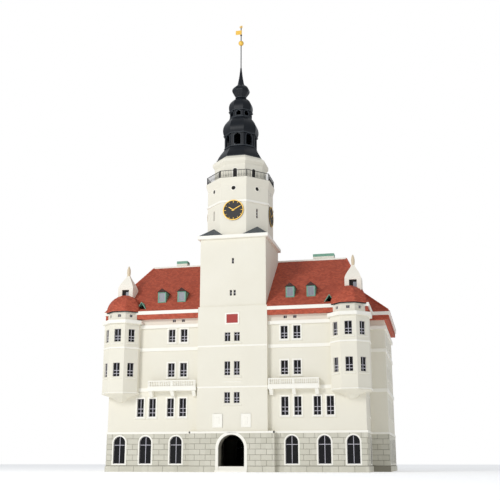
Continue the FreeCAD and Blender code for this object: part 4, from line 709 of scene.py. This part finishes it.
set_windows("ground", arched_pair(ARCH_WIDE, ARCH_SILL, ARCH_SPRING, (ARCH_TRANSOM,)),
            wall_places(both(ARCH_X), (SIDE_Y,), REAR_Y, BACK_X))
for storey, (foot, head) in STOREYS.items():
    columns = INNER_X + OUTER_X if storey == "first" else INNER_X
    places = wall_places(both(columns), (SIDE_Y,), REAR_Y, BACK_X)
    if storey != "first":
        places += turret_places(SET_BACK)
    set_windows(storey, window_pair(WINDOW_WIDE, foot, head), places)
set_windows("attic", window_pair(LIGHT_WIDE, *FRONT_LIGHTS, ()),
            [facing(0, x, SET_BACK) for x in both(LIGHT_X)])
set_windows("turret_lights", window_pair(LIGHT_WIDE, *TURRET_LIGHTS, ()), turret_places(0.08, TURRET_DRUM))
for level, (foot, head, shares) in TOWER_LEVELS.items():
    set_windows(f"tower_{level}", window_pair(TOWER_PAIR_WIDE, foot, head, shares),
                [facing(0, x, LOWER_Y + SET_BACK) for x in TOWER_PAIR_X])
set_windows("tower_slits", window_pair(SLIT_WIDE, *SHAFT_SLIT, (0.5,), False),
            [facing(0, x, UPPER_Y + SET_BACK, z) for x, z in SHAFT_SLITS])
set_windows("octagon_slits", window_pair(SLIT_WIDE, *OCTAGON_SLIT, (0.33, 0.66), False),
            around(FACETS[1::2], 0, TOWER_Y, OCTAGON_WIDE / 2 - SET_BACK))
for piece in bar_pieces:
    dressed(piece, bars)
for piece in glass_pieces:
    dressed(piece, pane)
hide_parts("window_glass")
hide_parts("tower_glass")

# %% [markdown]
# ## Sills of the windows
# Each opening sits in a flat raised band, which the CAD gives. Under the band a sloped sill throws the
# rain off and makes the thin shadow line that one sees below every window.

# %% Sills
def sill(wide, z):
    """A sill whose top slopes forward and whose underside has a drip."""
    piece = block("sill", (-wide / 2, -0.075, z - 0.06), (wide / 2, 0.0, z))
    pick(piece, lambda middle, run: middle.y < -0.07 and middle.z > z - 0.01, "edges")
    bpy.ops.transform.translate(value=(0, 0, -0.018))
    done()
    return ease(piece, 0.006)


SILL_MORE, TOWER_SILL = 0.3, 1.4
sill_pieces = []
for storey, (foot, head) in STOREYS.items():
    columns = INNER_X + OUTER_X if storey == "first" else INNER_X
    places = [place @ shift(y=-SET_BACK) for place in wall_places(both(columns), (SIDE_Y,), REAR_Y, BACK_X)]
    if storey != "first":
        places += turret_places(0.0)
    sill_pieces.append(copies(f"sills_{storey}", sill(WINDOW_WIDE + SILL_MORE, foot - SURROUND), places))
for level, sizes in TOWER_LEVELS.items():
    sill_pieces.append(copies(f"sills_tower_{level}", sill(TOWER_SILL, sizes[0] - SURROUND),
                              [shift(y=LOWER_Y)]))
for piece in sill_pieces:
    dressed(piece, trim)

# %% [markdown]
# ## Plinth
# The foot of the building is one course of long blocks. They are laid like the facing: one eased block,
# an Array along the wall, and flat cuts at the ends.

# %% Lay the plinth
PLINTH_OUT, PLINTH_LONG = 0.065, 1.1


def plinth_course(name, start, long, place=Matrix()):
    """One course of plinth blocks that looks to the front until placed."""
    stone_block = block("plinth_block", (start + JOINT / 2, -PLINTH_OUT - 0.02, 0.0),
                        (start + PLINTH_LONG - JOINT / 2, 0.01 - PLINTH_OUT, PLINTH_TOP - 0.012), 0.008)
    repeated(stone_block, math.ceil(long / PLINTH_LONG), (PLINTH_LONG, 0, 0))
    bisect(stone_block, (start + long, 0, 0), (1, 0, 0), clear=True)
    stone_block.data.transform(place)
    stone_block.name = name
    return stone_block


courses = [plinth_course("right", GATE_HALF, FRONT_HALF - GATE_HALF + PLINTH_OUT),
           plinth_course("left", -FRONT_HALF - PLINTH_OUT, FRONT_HALF - GATE_HALF + PLINTH_OUT)]
for side in (1, -1):
    courses += [
        plinth_course("side", -PLINTH_OUT if side > 0 else PLINTH_OUT - SETBACK_Y, SETBACK_Y,
                      facing(90 * side, side * FRONT_HALF, 0)),
        plinth_course("rear", SETBACK_Y - PLINTH_OUT if side > 0 else -BACK_Y - PLINTH_OUT,
                      BACK_Y - SETBACK_Y + 2 * PLINTH_OUT, facing(90 * side, side * REAR_HALF, 0))]
for side in (1, -1):
    courses += [
        plinth_course("gate", DOOR_HALF + DOOR_BAND if side > 0 else -GATE_HALF - FACING,
                      GATE_HALF + FACING - DOOR_HALF - DOOR_BAND, shift(y=GATE_Y + PLINTH_OUT - 0.01)),
        plinth_course("reveal", GATE_Y if side > 0 else 0.0, -GATE_Y,
                      facing(90 * side, side * (GATE_HALF - PLINTH_OUT + 0.01), 0))]
courses.append(plinth_course("back", -REAR_HALF - PLINTH_OUT, 2 * (REAR_HALF + PLINTH_OUT),
                             facing(180, 0, BACK_Y)))
dressed(joined("plinth_blocks", courses), stone)

# %% [markdown]
# ## Roof tiles
# Plain tiles lie in courses, each lapping over the one below, so the roof has a thin step at every
# course. The outer faces of the CAD roof are copied and cut level at each course. Odd and even courses
# are parted, so that the lower edge of every course can be lifted off the roof before the courses get
# their thickness. The joints between the tiles of a course are only drawn by the finish.

# %% Cut a roof into lapped courses
def courses_of(name, node, keep, low, high, course, lift=0.02):
    """Tile courses over the faces of a CAD node that pass the test."""
    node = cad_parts[node]
    shell = bpy.data.objects.new(name, node.data.copy())
    bpy.context.collection.objects.link(shell)
    shell.data.transform(node.matrix_world)
    pick(shell, lambda middle, normal: not keep(middle, normal))
    bpy.ops.mesh.delete(type="FACE")
    bpy.ops.mesh.select_all(action="SELECT")
    bpy.ops.mesh.remove_doubles(threshold=0.0005)
    levels = [low + course * step for step in range(1, math.ceil((high - low) / course))]
    for level in levels:
        bpy.ops.mesh.select_all(action="SELECT")
        bpy.ops.mesh.bisect(plane_co=(0, 0, level), plane_no=(0, 0, 1))
    done()
    halves = []
    for parity in (0, 1):
        half = shell.copy()
        half.data = shell.data.copy()
        bpy.context.collection.objects.link(half)
        pick(half, lambda middle, normal: math.floor((middle.z - low) / course) % 2 != parity)
        bpy.ops.mesh.delete(type="FACE")
        done()
        pick(half, lambda co, normal: round((co.z - low) / course, 3) % 2 == parity, "points")
        bpy.ops.transform.shrink_fatten(value=lift)
        done()
        halves.append(modify(half, "SOLIDIFY", thickness=0.012, offset=1))
    bpy.data.objects.remove(shell)
    return joined(name, halves)


def outward(middle, normal):
    """Whether a face looks away from the middle of the building."""
    return (middle - Vector((0, (SETBACK_Y + BACK_Y) / 2, middle.z))).dot(normal) > 0 and abs(normal.z) < 0.2


def dome_skin(middle, normal):
    """Whether a face is on the outside of one of the domes."""
    axis = Vector((math.copysign(TURRET_X, middle.x), TURRET_Y, DOME_Z - 0.5))
    return (middle - axis).dot(normal) > 0 and normal.z > -0.3


SKIRT_LOW, SKIRT_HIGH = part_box("eaves_skirt")[0].z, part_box("eaves_skirt")[1].z
ROOF_COURSE, SKIRT_COURSE = 0.12, 0.066
tiled = [courses_of("tiles_roof", "main_roof", lambda middle, normal: normal.z > 0.3,
                    EAVES, RIDGE, ROOF_COURSE, 0.025),
         courses_of("tiles_domes", "turret_domes", dome_skin, DOME_Z,
                    DOME_TOP, ROOF_COURSE, 0.03),
         courses_of("tiles_skirt", "eaves_skirt", outward, SKIRT_LOW, SKIRT_HIGH, SKIRT_COURSE)]
for piece in tiled:
    dressed(piece, tiles)

# %% [markdown]
# ## Ridge and hip tiles
# Half-round tiles cover the ridges and hips, each overlapping the next. On this building the ridges are
# bedded in pale mortar while the hips are plain clay. One tile is a cylinder cut in half, flared at one
# end; it is copied along each line.

# %% Lay ridge and hip tiles
def cap_tile(radius=0.1, long=0.4):
    """A half-round tile along +Y, wider at its start."""
    bpy.ops.mesh.primitive_cylinder_add(vertices=10, radius=radius, depth=long,
                                        rotation=(math.radians(90), 0, 0))
    tile = settle("cap_tile")
    bisect(tile, (0, 0, -radius * 0.35), (0, 0, -1), clear=True)
    pick(tile, lambda co, normal: co.y < 0, "points")
    bpy.ops.transform.resize(value=(1.22, 1, 1.18))
    done()
    return tile


def cap_places(start, end, pitch=0.36):
    """Places of overlapping tiles from one point to another."""
    start, end = Vector(start), Vector(end)
    turn = (end - start).to_track_quat("Y", "Z").to_matrix().to_4x4()
    count = math.floor((end - start).length / pitch)
    return [Matrix.Translation(start.lerp(end, (step + 0.5) / count)) @ turn for step in range(count)]


FRONT_RIDGE_Y, FRONT_RIDGE, REAR_RIDGE_Y, REAR_RIDGE = 4.85, 7.9, (SETBACK_Y + BACK_Y) / 2, 6.05
GUTTER_OUT = 0.45
ridges, hips = [], []
for half, y in ((FRONT_RIDGE, FRONT_RIDGE_Y), (REAR_RIDGE, REAR_RIDGE_Y)):
    ridges += cap_places((-half, y, RIDGE), (half, y, RIDGE))
for side in (1, -1):
    front_top = Vector((side * FRONT_RIDGE, FRONT_RIDGE_Y, RIDGE))
    front_foot = Vector((side * (FRONT_HALF + GUTTER_OUT), -GUTTER_OUT, EAVES))
    hips += cap_places(front_foot.lerp(front_top, 0.46), front_top)
    for foot_y in (SETBACK_Y - GUTTER_OUT, BACK_Y + GUTTER_OUT):
        rear_foot = Vector((side * (REAR_HALF + GUTTER_OUT), foot_y, EAVES))
        rear_top = Vector((side * REAR_RIDGE, REAR_RIDGE_Y, RIDGE))
        hips += cap_places(rear_foot.lerp(rear_top, 0.03), rear_top)
dressed(copies("ridge_tiles", cap_tile(), ridges), trim, smooth=True)
dressed(copies("hip_tiles", cap_tile(0.085), hips), tiles, smooth=True)

# %% [markdown]
# ## Bands, frames and panels
# Thin mouldings mark the floors on the turrets, the tower and the gate. A moulding round an octagon is
# an eight-sided plate whose middle is inset and removed. Frames of round-headed openings are made the
# same way.

# %% Rings and frames
def octagon_ring(name, wide, low, high, deep=0.12):
    """An eight-sided band round the origin, with eased edges."""
    eighth = math.radians(22.5)
    return hollowed(disc(name, 8, wide / 2 / math.cos(eighth), high, (0, 0, eighth)), deep, high - low)


def hollowed(plate, width, thick, eased=0.008):
    """Inset a flat plate, remove its middle and give the rim its thickness."""
    pick(plate, lambda middle, normal: True)
    bpy.ops.mesh.inset(thickness=width, depth=0)
    bpy.ops.mesh.delete(type="FACE")
    done()
    modify(plate, "SOLIDIFY", thickness=thick, offset=-1)
    return ease(plate, eased)


def arched_frame(name, wide, foot, spring, width, thick):
    """A raised frame round a round-headed opening; its back lies at y = 0."""
    plate = arched_outline(name, wide + 2 * width, foot, spring)
    frame_piece = hollowed(plate, width, thick, 0.004)
    frame_piece.data.transform(shift(y=-max(point.co.y for point in frame_piece.data.vertices)))
    return frame_piece


def round_ring(name, radius, width, thick):
    """A flat ring that looks to the front; its back lies at y = 0."""
    ring = hollowed(disc(name, 48, radius), width, thick, 0.003)
    ring.data.transform(shift(y=-max(point.co.y for point in ring.data.vertices)))
    return ring


print("ring tools ready")

# %% Bands of the turrets, the tower and the gate
TURRET_LOW_BAND, TOWER_SHORT_BAND = (5.55, 5.62), (6.22, 6.27, 0.72)
bands = []
for side in (1, -1):
    for low, high in ((THIRD - STRING_HIGH, THIRD), TURRET_LOW_BAND):
        for corner in (0, 1):
            ring = octagon_ring("turret_band", TURRET_WIDE + 0.1, low, high, 0.09)
            ring.data.transform(shift(side * TURRET_X, TURRET_Y))
            if corner:
                bisect(ring, (side * FRONT_HALF, 0, 0), (-side, 0, 0), clear=True)
                bisect(ring, (0, 0, 0), (0, -1, 0), clear=True)
            else:
                bisect(ring, (0, 0, 0), (0, 1, 0), clear=True)
            bands.append(ring)
    bands.append(block("gate_return", (side * GATE_HALF - BAND_OUT, GATE_Y - BAND_OUT, BAND_LOW),
                       (side * GATE_HALF + BAND_OUT, 0, BAND_TOP), 0.01))
bands.append(block("gate_band", (-GATE_HALF - BAND_OUT, GATE_Y - BAND_OUT, BAND_LOW),
                   (GATE_HALF + BAND_OUT, GATE_Y + 0.02, BAND_TOP), 0.01))
for low, high, half in ((SECOND - STRING_HIGH, SECOND, LOWER_HALF),
                        (THIRD - STRING_HIGH, THIRD, LOWER_HALF), TOWER_SHORT_BAND):
    bands.append(block("tower_band", (-half, LOWER_Y - 0.022, low), (half, LOWER_Y + 0.01, high), 0.006))
dressed(joined("thin_bands", bands), trim)

# %% Relief panels beside the tower's first windows
PLAQUE = (0.675, 1.4, 3.05, 4.0)


def relief_panel():
    """A panel with a moulded edge and a plain boss in its middle."""
    near, far, low, high = PLAQUE
    half, tall = (far - near) / 2, (high - low) / 2
    panel = block("relief_panel", (-half, -0.05, -tall), (half, 0.0, tall))
    pick(panel, lambda middle, normal: normal.y < -0.9)
    bpy.ops.mesh.inset(thickness=0.07, depth=0)
    bpy.ops.mesh.inset(thickness=0.02, depth=-0.03)
    bpy.ops.mesh.inset(thickness=0.1, depth=0)
    bpy.ops.mesh.inset(thickness=0.06, depth=0.04)
    done()
    return ease(panel, 0.006)


near, far, low, high = PLAQUE
places = [shift(side * (near + far) / 2, LOWER_Y, (low + high) / 2) for side in (1, -1)]
dressed(copies("relief_panels", relief_panel(), places), trim)

# %% [markdown]
# ## Balustrades and railing
# Between the rails of the balconies stand small balusters. One is a slim block, cut at three heights
# and swollen in its belly. The gallery has plain square iron bars with a knob.

# %% Set the balusters
def baluster(thick, foot, head, belly):
    """A slim upright, swollen at a third of its height."""
    post = block("baluster", (-thick / 2, -thick / 2, foot), (thick / 2, thick / 2, head))
    high = head - foot
    for share in (0.15, 0.35, 0.7):
        bisect(post, (0, 0, foot + share * high), (0, 0, 1))
    pick(post, lambda co, normal: abs(co.z - foot - 0.35 * high) < 0.01, "points")
    bpy.ops.transform.resize(value=(belly, belly, 1))
    done()
    return post


BALCONY_NEAR, BALCONY_FAR, BALCONY_DEEP, BALCONY_BAYS = 2.64, 6.3, 0.6, 27
BALUSTER_FOOT, BALUSTER_HEAD, END_PITCH = 0.06, 0.42, 0.13
rail_y = 0.03 - BALCONY_DEEP + 0.035
places = []
for side in (1, -1):
    for step in range(1, BALCONY_BAYS):
        x = BALCONY_NEAR + 0.03 + (BALCONY_FAR - BALCONY_NEAR - 0.06) * step / BALCONY_BAYS
        places.append(shift(side * x, rail_y))
    places += [shift(side * (BALCONY_FAR - 0.065), rail_y + END_PITCH * step) for step in (1, 2, 3)]
post = baluster(0.05, SECOND + BALUSTER_FOOT, SECOND + BALUSTER_HEAD, 1.5)
dressed(copies("balusters", post, places), trim)

RAILING_WIDE, RAILING_TOP, RAILING_BARS = 4.95, 22.34, 16
side_long = RAILING_WIDE * math.tan(math.radians(22.5))
places = [facing(angle, 0, TOWER_Y)
          @ shift(side_long * (step / RAILING_BARS - 0.5), 0.018 - RAILING_WIDE / 2)
          for angle in FACETS for step in range(RAILING_BARS)]
dressed(copies("gallery_bars", baluster(0.016, GALLERY_Z, RAILING_TOP, 1.7), places), iron)

# %% [markdown]
# ## Clocks
# Each dial has a gilt ring and twelve gilt marks, those at the quarters longer. A mark is a small block
# tapered to its inner end. The hands turn in front of the marks, so the marks stay thin.

# %% Dress the dials
CLOCK_Z, DIAL_RADIUS, MARK_REACH, DIAL_OUT = 19.15, 0.8, 0.72, 0.255


def clock_mark(long, wide):
    """A mark of the hours at the top of the dial, tapered to the middle."""
    mark = block("clock_mark", (-wide / 2, -0.006, MARK_REACH - long), (wide / 2, 0.002, MARK_REACH))
    pick(mark, lambda co, normal: co.z < 0.65, "points")
    bpy.ops.transform.resize(value=(0.55, 1, 1))
    done()
    return ease(mark, 0.002)


clock_parts = [round_ring("clock_ring", DIAL_RADIUS, 0.06, 0.043)]
for hour in range(12):
    mark = clock_mark(0.15, 0.05) if hour % 3 == 0 else clock_mark(0.12, 0.034)
    mark.data.transform(Matrix.Rotation(math.radians(30 * hour), 4, "Y"))
    clock_parts.append(mark)
clock_set = joined("clock_set", clock_parts)
clock_set.data.transform(shift(z=CLOCK_Z))
dials = around(FACETS[::2], 0, TOWER_Y, TOWER_Y + DIAL_OUT)
dressed(copies("clock_marks", clock_set, dials), gold)

# %% Round windows under the gallery
OCULUS_Z, OCULUS = OCTAGON_Z + 3.755, 0.16
rim = round_ring("oculus_rim", OCULUS + 0.045, 0.045, 0.025)
rim.data.transform(shift(z=OCULUS_Z))
dressed(copies("oculus_rims", rim, around(FACETS, 0, TOWER_Y, OCTAGON_WIDE / 2)), trim)
# The round panes take the near-black shade finish: painted shade of the dark room behind them.
round_pane = sash("oculus_pane", disc("oculus_pane", 24, OCULUS, OCULUS_Z))
places = around(FACETS, 0, TOWER_Y, OCTAGON_WIDE / 2 - 0.02)
dressed(copies("oculus_panes", round_pane, places), shadow)

# %% [markdown]
# ## Drum doors, lanterns and spire
# The drum behind the gallery has a door on every side, its leaf painted near-black as painted shade. The
# lanterns have a raised frame round each opening, and every roof of the spire ends in a thin lip.

# %% Doors of the drum and frames of the lanterns
DRUM_WIDE, DOOR_WIDE, DOOR_RISE = 3.85, 0.325, 0.77
drum_sides = around(FACETS, 0, TOWER_Y, DRUM_WIDE / 2)
# The door leaves are painted near-black: painted shade of the recess behind the gallery.
leaf = arched_block("drum_door", DOOR_WIDE, GALLERY_Z, GALLERY_Z + DOOR_RISE, 0.05, 0.09)
pick(leaf, lambda middle, normal: normal.y < -0.9)
bpy.ops.mesh.inset(thickness=0.03, depth=-0.012)
done()
dressed(copies("drum_doors", leaf, drum_sides), shadow)
door_frame = arched_frame("drum_frame", DOOR_WIDE, GALLERY_Z - 0.05, GALLERY_Z + DOOR_RISE, 0.06, 0.03)
dressed(copies("drum_frames", door_frame, drum_sides), trim)

LANTERNS = ((2.425, 24.83, 0.55, 0.82), (1.665, 27.48, 0.385, 0.34))
LANTERN_SILL, LANTERN_BAND = 0.12, 0.05
frames = []
for wide, foot, opening, spring in LANTERNS:
    made = arched_frame("lantern_frame", opening, foot + LANTERN_SILL - LANTERN_BAND, foot + spring,
                        LANTERN_BAND, 0.03)
    frames.append(copies("lantern_frame", made, around(FACETS, 0, TOWER_Y, wide / 2)))
dressed(joined("lantern_frames", frames), lead)

# %% Lips of the spire's roofs
LIPS = ((3.58, 23.79), (2.52, 24.83), (2.62, 25.93), (1.75, 27.46), (1.86, 28.05), (0.86, 29.35))
lips = [octagon_ring("lip", wide, z, z + 0.06, 0.1) for wide, z in LIPS]
for lip in lips:
    lip.data.transform(shift(y=TOWER_Y))
dressed(joined("spire_lips", lips), lead)

# %% [markdown]
# ## Small roof openings
# Each dormer has a pale pane that nearly fills its copper frame. Under each dome runs a dark ring of painted
# shade where the gap lies in shadow. A sheet of painted shade fills one side of a pavilion's opening, and
# the other side shows a pale pane over a small ledge.

# %% Dormer panes, dome eaves and pavilions
DORMER_X, DORMER_Y, DORMER_PANE = (4.15, 5.7), 0.44, (0.46, 12.47, 13.13)
PAVILION_X, PAVILION_Y, PAVILION_HALF = 8.75, 1.25, 0.3
LEDGE, SHADE_SHEET, HALF_PANE = (12.78, 12.83), (12.2, 13.62), (0.26, 12.5, 13.4)
dormer_bars, dormer_pane = window_pair(*DORMER_PANE, (), False)
dormer_places = [facing(0, x, DORMER_Y) for x in both(DORMER_X)]
dressed(copies("dormer_bars", dormer_bars, dormer_places), bars)
dressed(copies("dormer_panes", dormer_pane, dormer_places), grey_pane)
# A dark ring of painted shade stands in the shadow under the eaves of each dome.
eave_shade = octagon_ring("dome_eave_shade_ring", 2.6, DOME_Z - 0.05, DOME_Z + 0.012, 0.2)
domes = [shift(side * TURRET_X, TURRET_Y) for side in (1, -1)]
dressed(copies("dome_eave_shade_rings", eave_shade, domes), shadow)
pavilions = [shift(side * PAVILION_X, PAVILION_Y) for side in (1, -1)]
ledge = block("pavilion_ledge", (-PAVILION_HALF, -0.64, LEDGE[0]), (PAVILION_HALF, -0.5, LEDGE[1]), 0.012)
dressed(copies("pavilion_ledges", ledge, pavilions), beige)
# A near-black sheet of painted shade fills the dark side of each pavilion opening.
shade_sheet = block("pavilion_shade_sheet", (-PAVILION_HALF, -0.47, SHADE_SHEET[0]),
               (PAVILION_HALF, -0.44, SHADE_SHEET[1]), 0.004)
dressed(copies("pavilion_shade_sheets", shade_sheet, pavilions), shadow)
half_pane = sash("pavilion_pane", flat_outline(*HALF_PANE))
pane_places = [place @ shift(0.14, -0.52) for place in pavilions]
dressed(copies("pavilion_panes", half_pane, pane_places), grey_pane)

# %% [markdown]
# ## Floor, light and camera
# The model stands on a plain white studio floor. A large soft lamp stands at the front left, so that the
# right-hand sides fall into a mild shade. The camera sees plain white behind the model, while surfaces
# are lit by a dimmer, slightly blue sky. The Standard view transform keeps that white unchanged.

# %% Floor
bpy.ops.mesh.primitive_plane_add(size=400)
floor = settle("studio_floor")
floor.data.materials.append(finish("studio_floor_finish",
                                   speckled((250, 250, 250), (253, 253, 253), 0.2, 0.9, 0.0),
                                   Emission_Color=(1.0, 1.0, 1.0, 1.0), Emission_Strength=0.3))
print("floor ready")

# %% Light
world = bpy.data.worlds.new("studio_world")
bpy.context.scene.world = world
world.use_nodes = True
sky = Shade(world.node_tree)
backdrop = sky.node("ShaderNodeBackground", None, {"Color": (1.0, 1.0, 1.0, 1.0), "Strength": 1.0})
glow = sky.node("ShaderNodeBackground", None, {"Color": (0.93, 0.96, 1.0, 1.0), "Strength": 0.53})
seen = sky.node("ShaderNodeLightPath")
both_skies = sky.node("ShaderNodeMixShader", None, {0: seen, 1: glow, 2: backdrop})
world.node_tree.links.new(both_skies.socket, world.node_tree.nodes["World Output"].inputs["Surface"])
bpy.context.scene.view_settings.view_transform = "Standard"


def lamp(name, place, target, size, power):
    """A square soft light aimed at a point."""
    bpy.ops.object.select_all(action="DESELECT")
    aim = (Vector(target) - Vector(place)).to_track_quat("-Z", "Y").to_euler()
    bpy.ops.object.light_add(type="AREA", location=place, rotation=aim)
    made = bpy.context.object
    made.name = name
    made.data.size = size
    made.data.energy = power
    return made


lamp("key_light", (-34, -64, 40), (0, 3, 12), 20, 25000)
print("lights ready")

# %% Camera
CAMERA_PLACE, CAMERA_TILT, CAMERA_TURN, CAMERA_LENS = (14.125, -58.125, 0.675), 104.45, 12.5, 59.29
bpy.ops.object.select_all(action="DESELECT")
bpy.ops.object.camera_add(location=CAMERA_PLACE,
                          rotation=(math.radians(CAMERA_TILT), 0.0, math.radians(CAMERA_TURN)))
camera = bpy.context.object
camera.name = "studio_camera"
camera.data.lens = CAMERA_LENS
camera.data.sensor_width = 36.0
camera.data.clip_end = 1000.0
bpy.context.scene.camera = camera
print("camera ready")
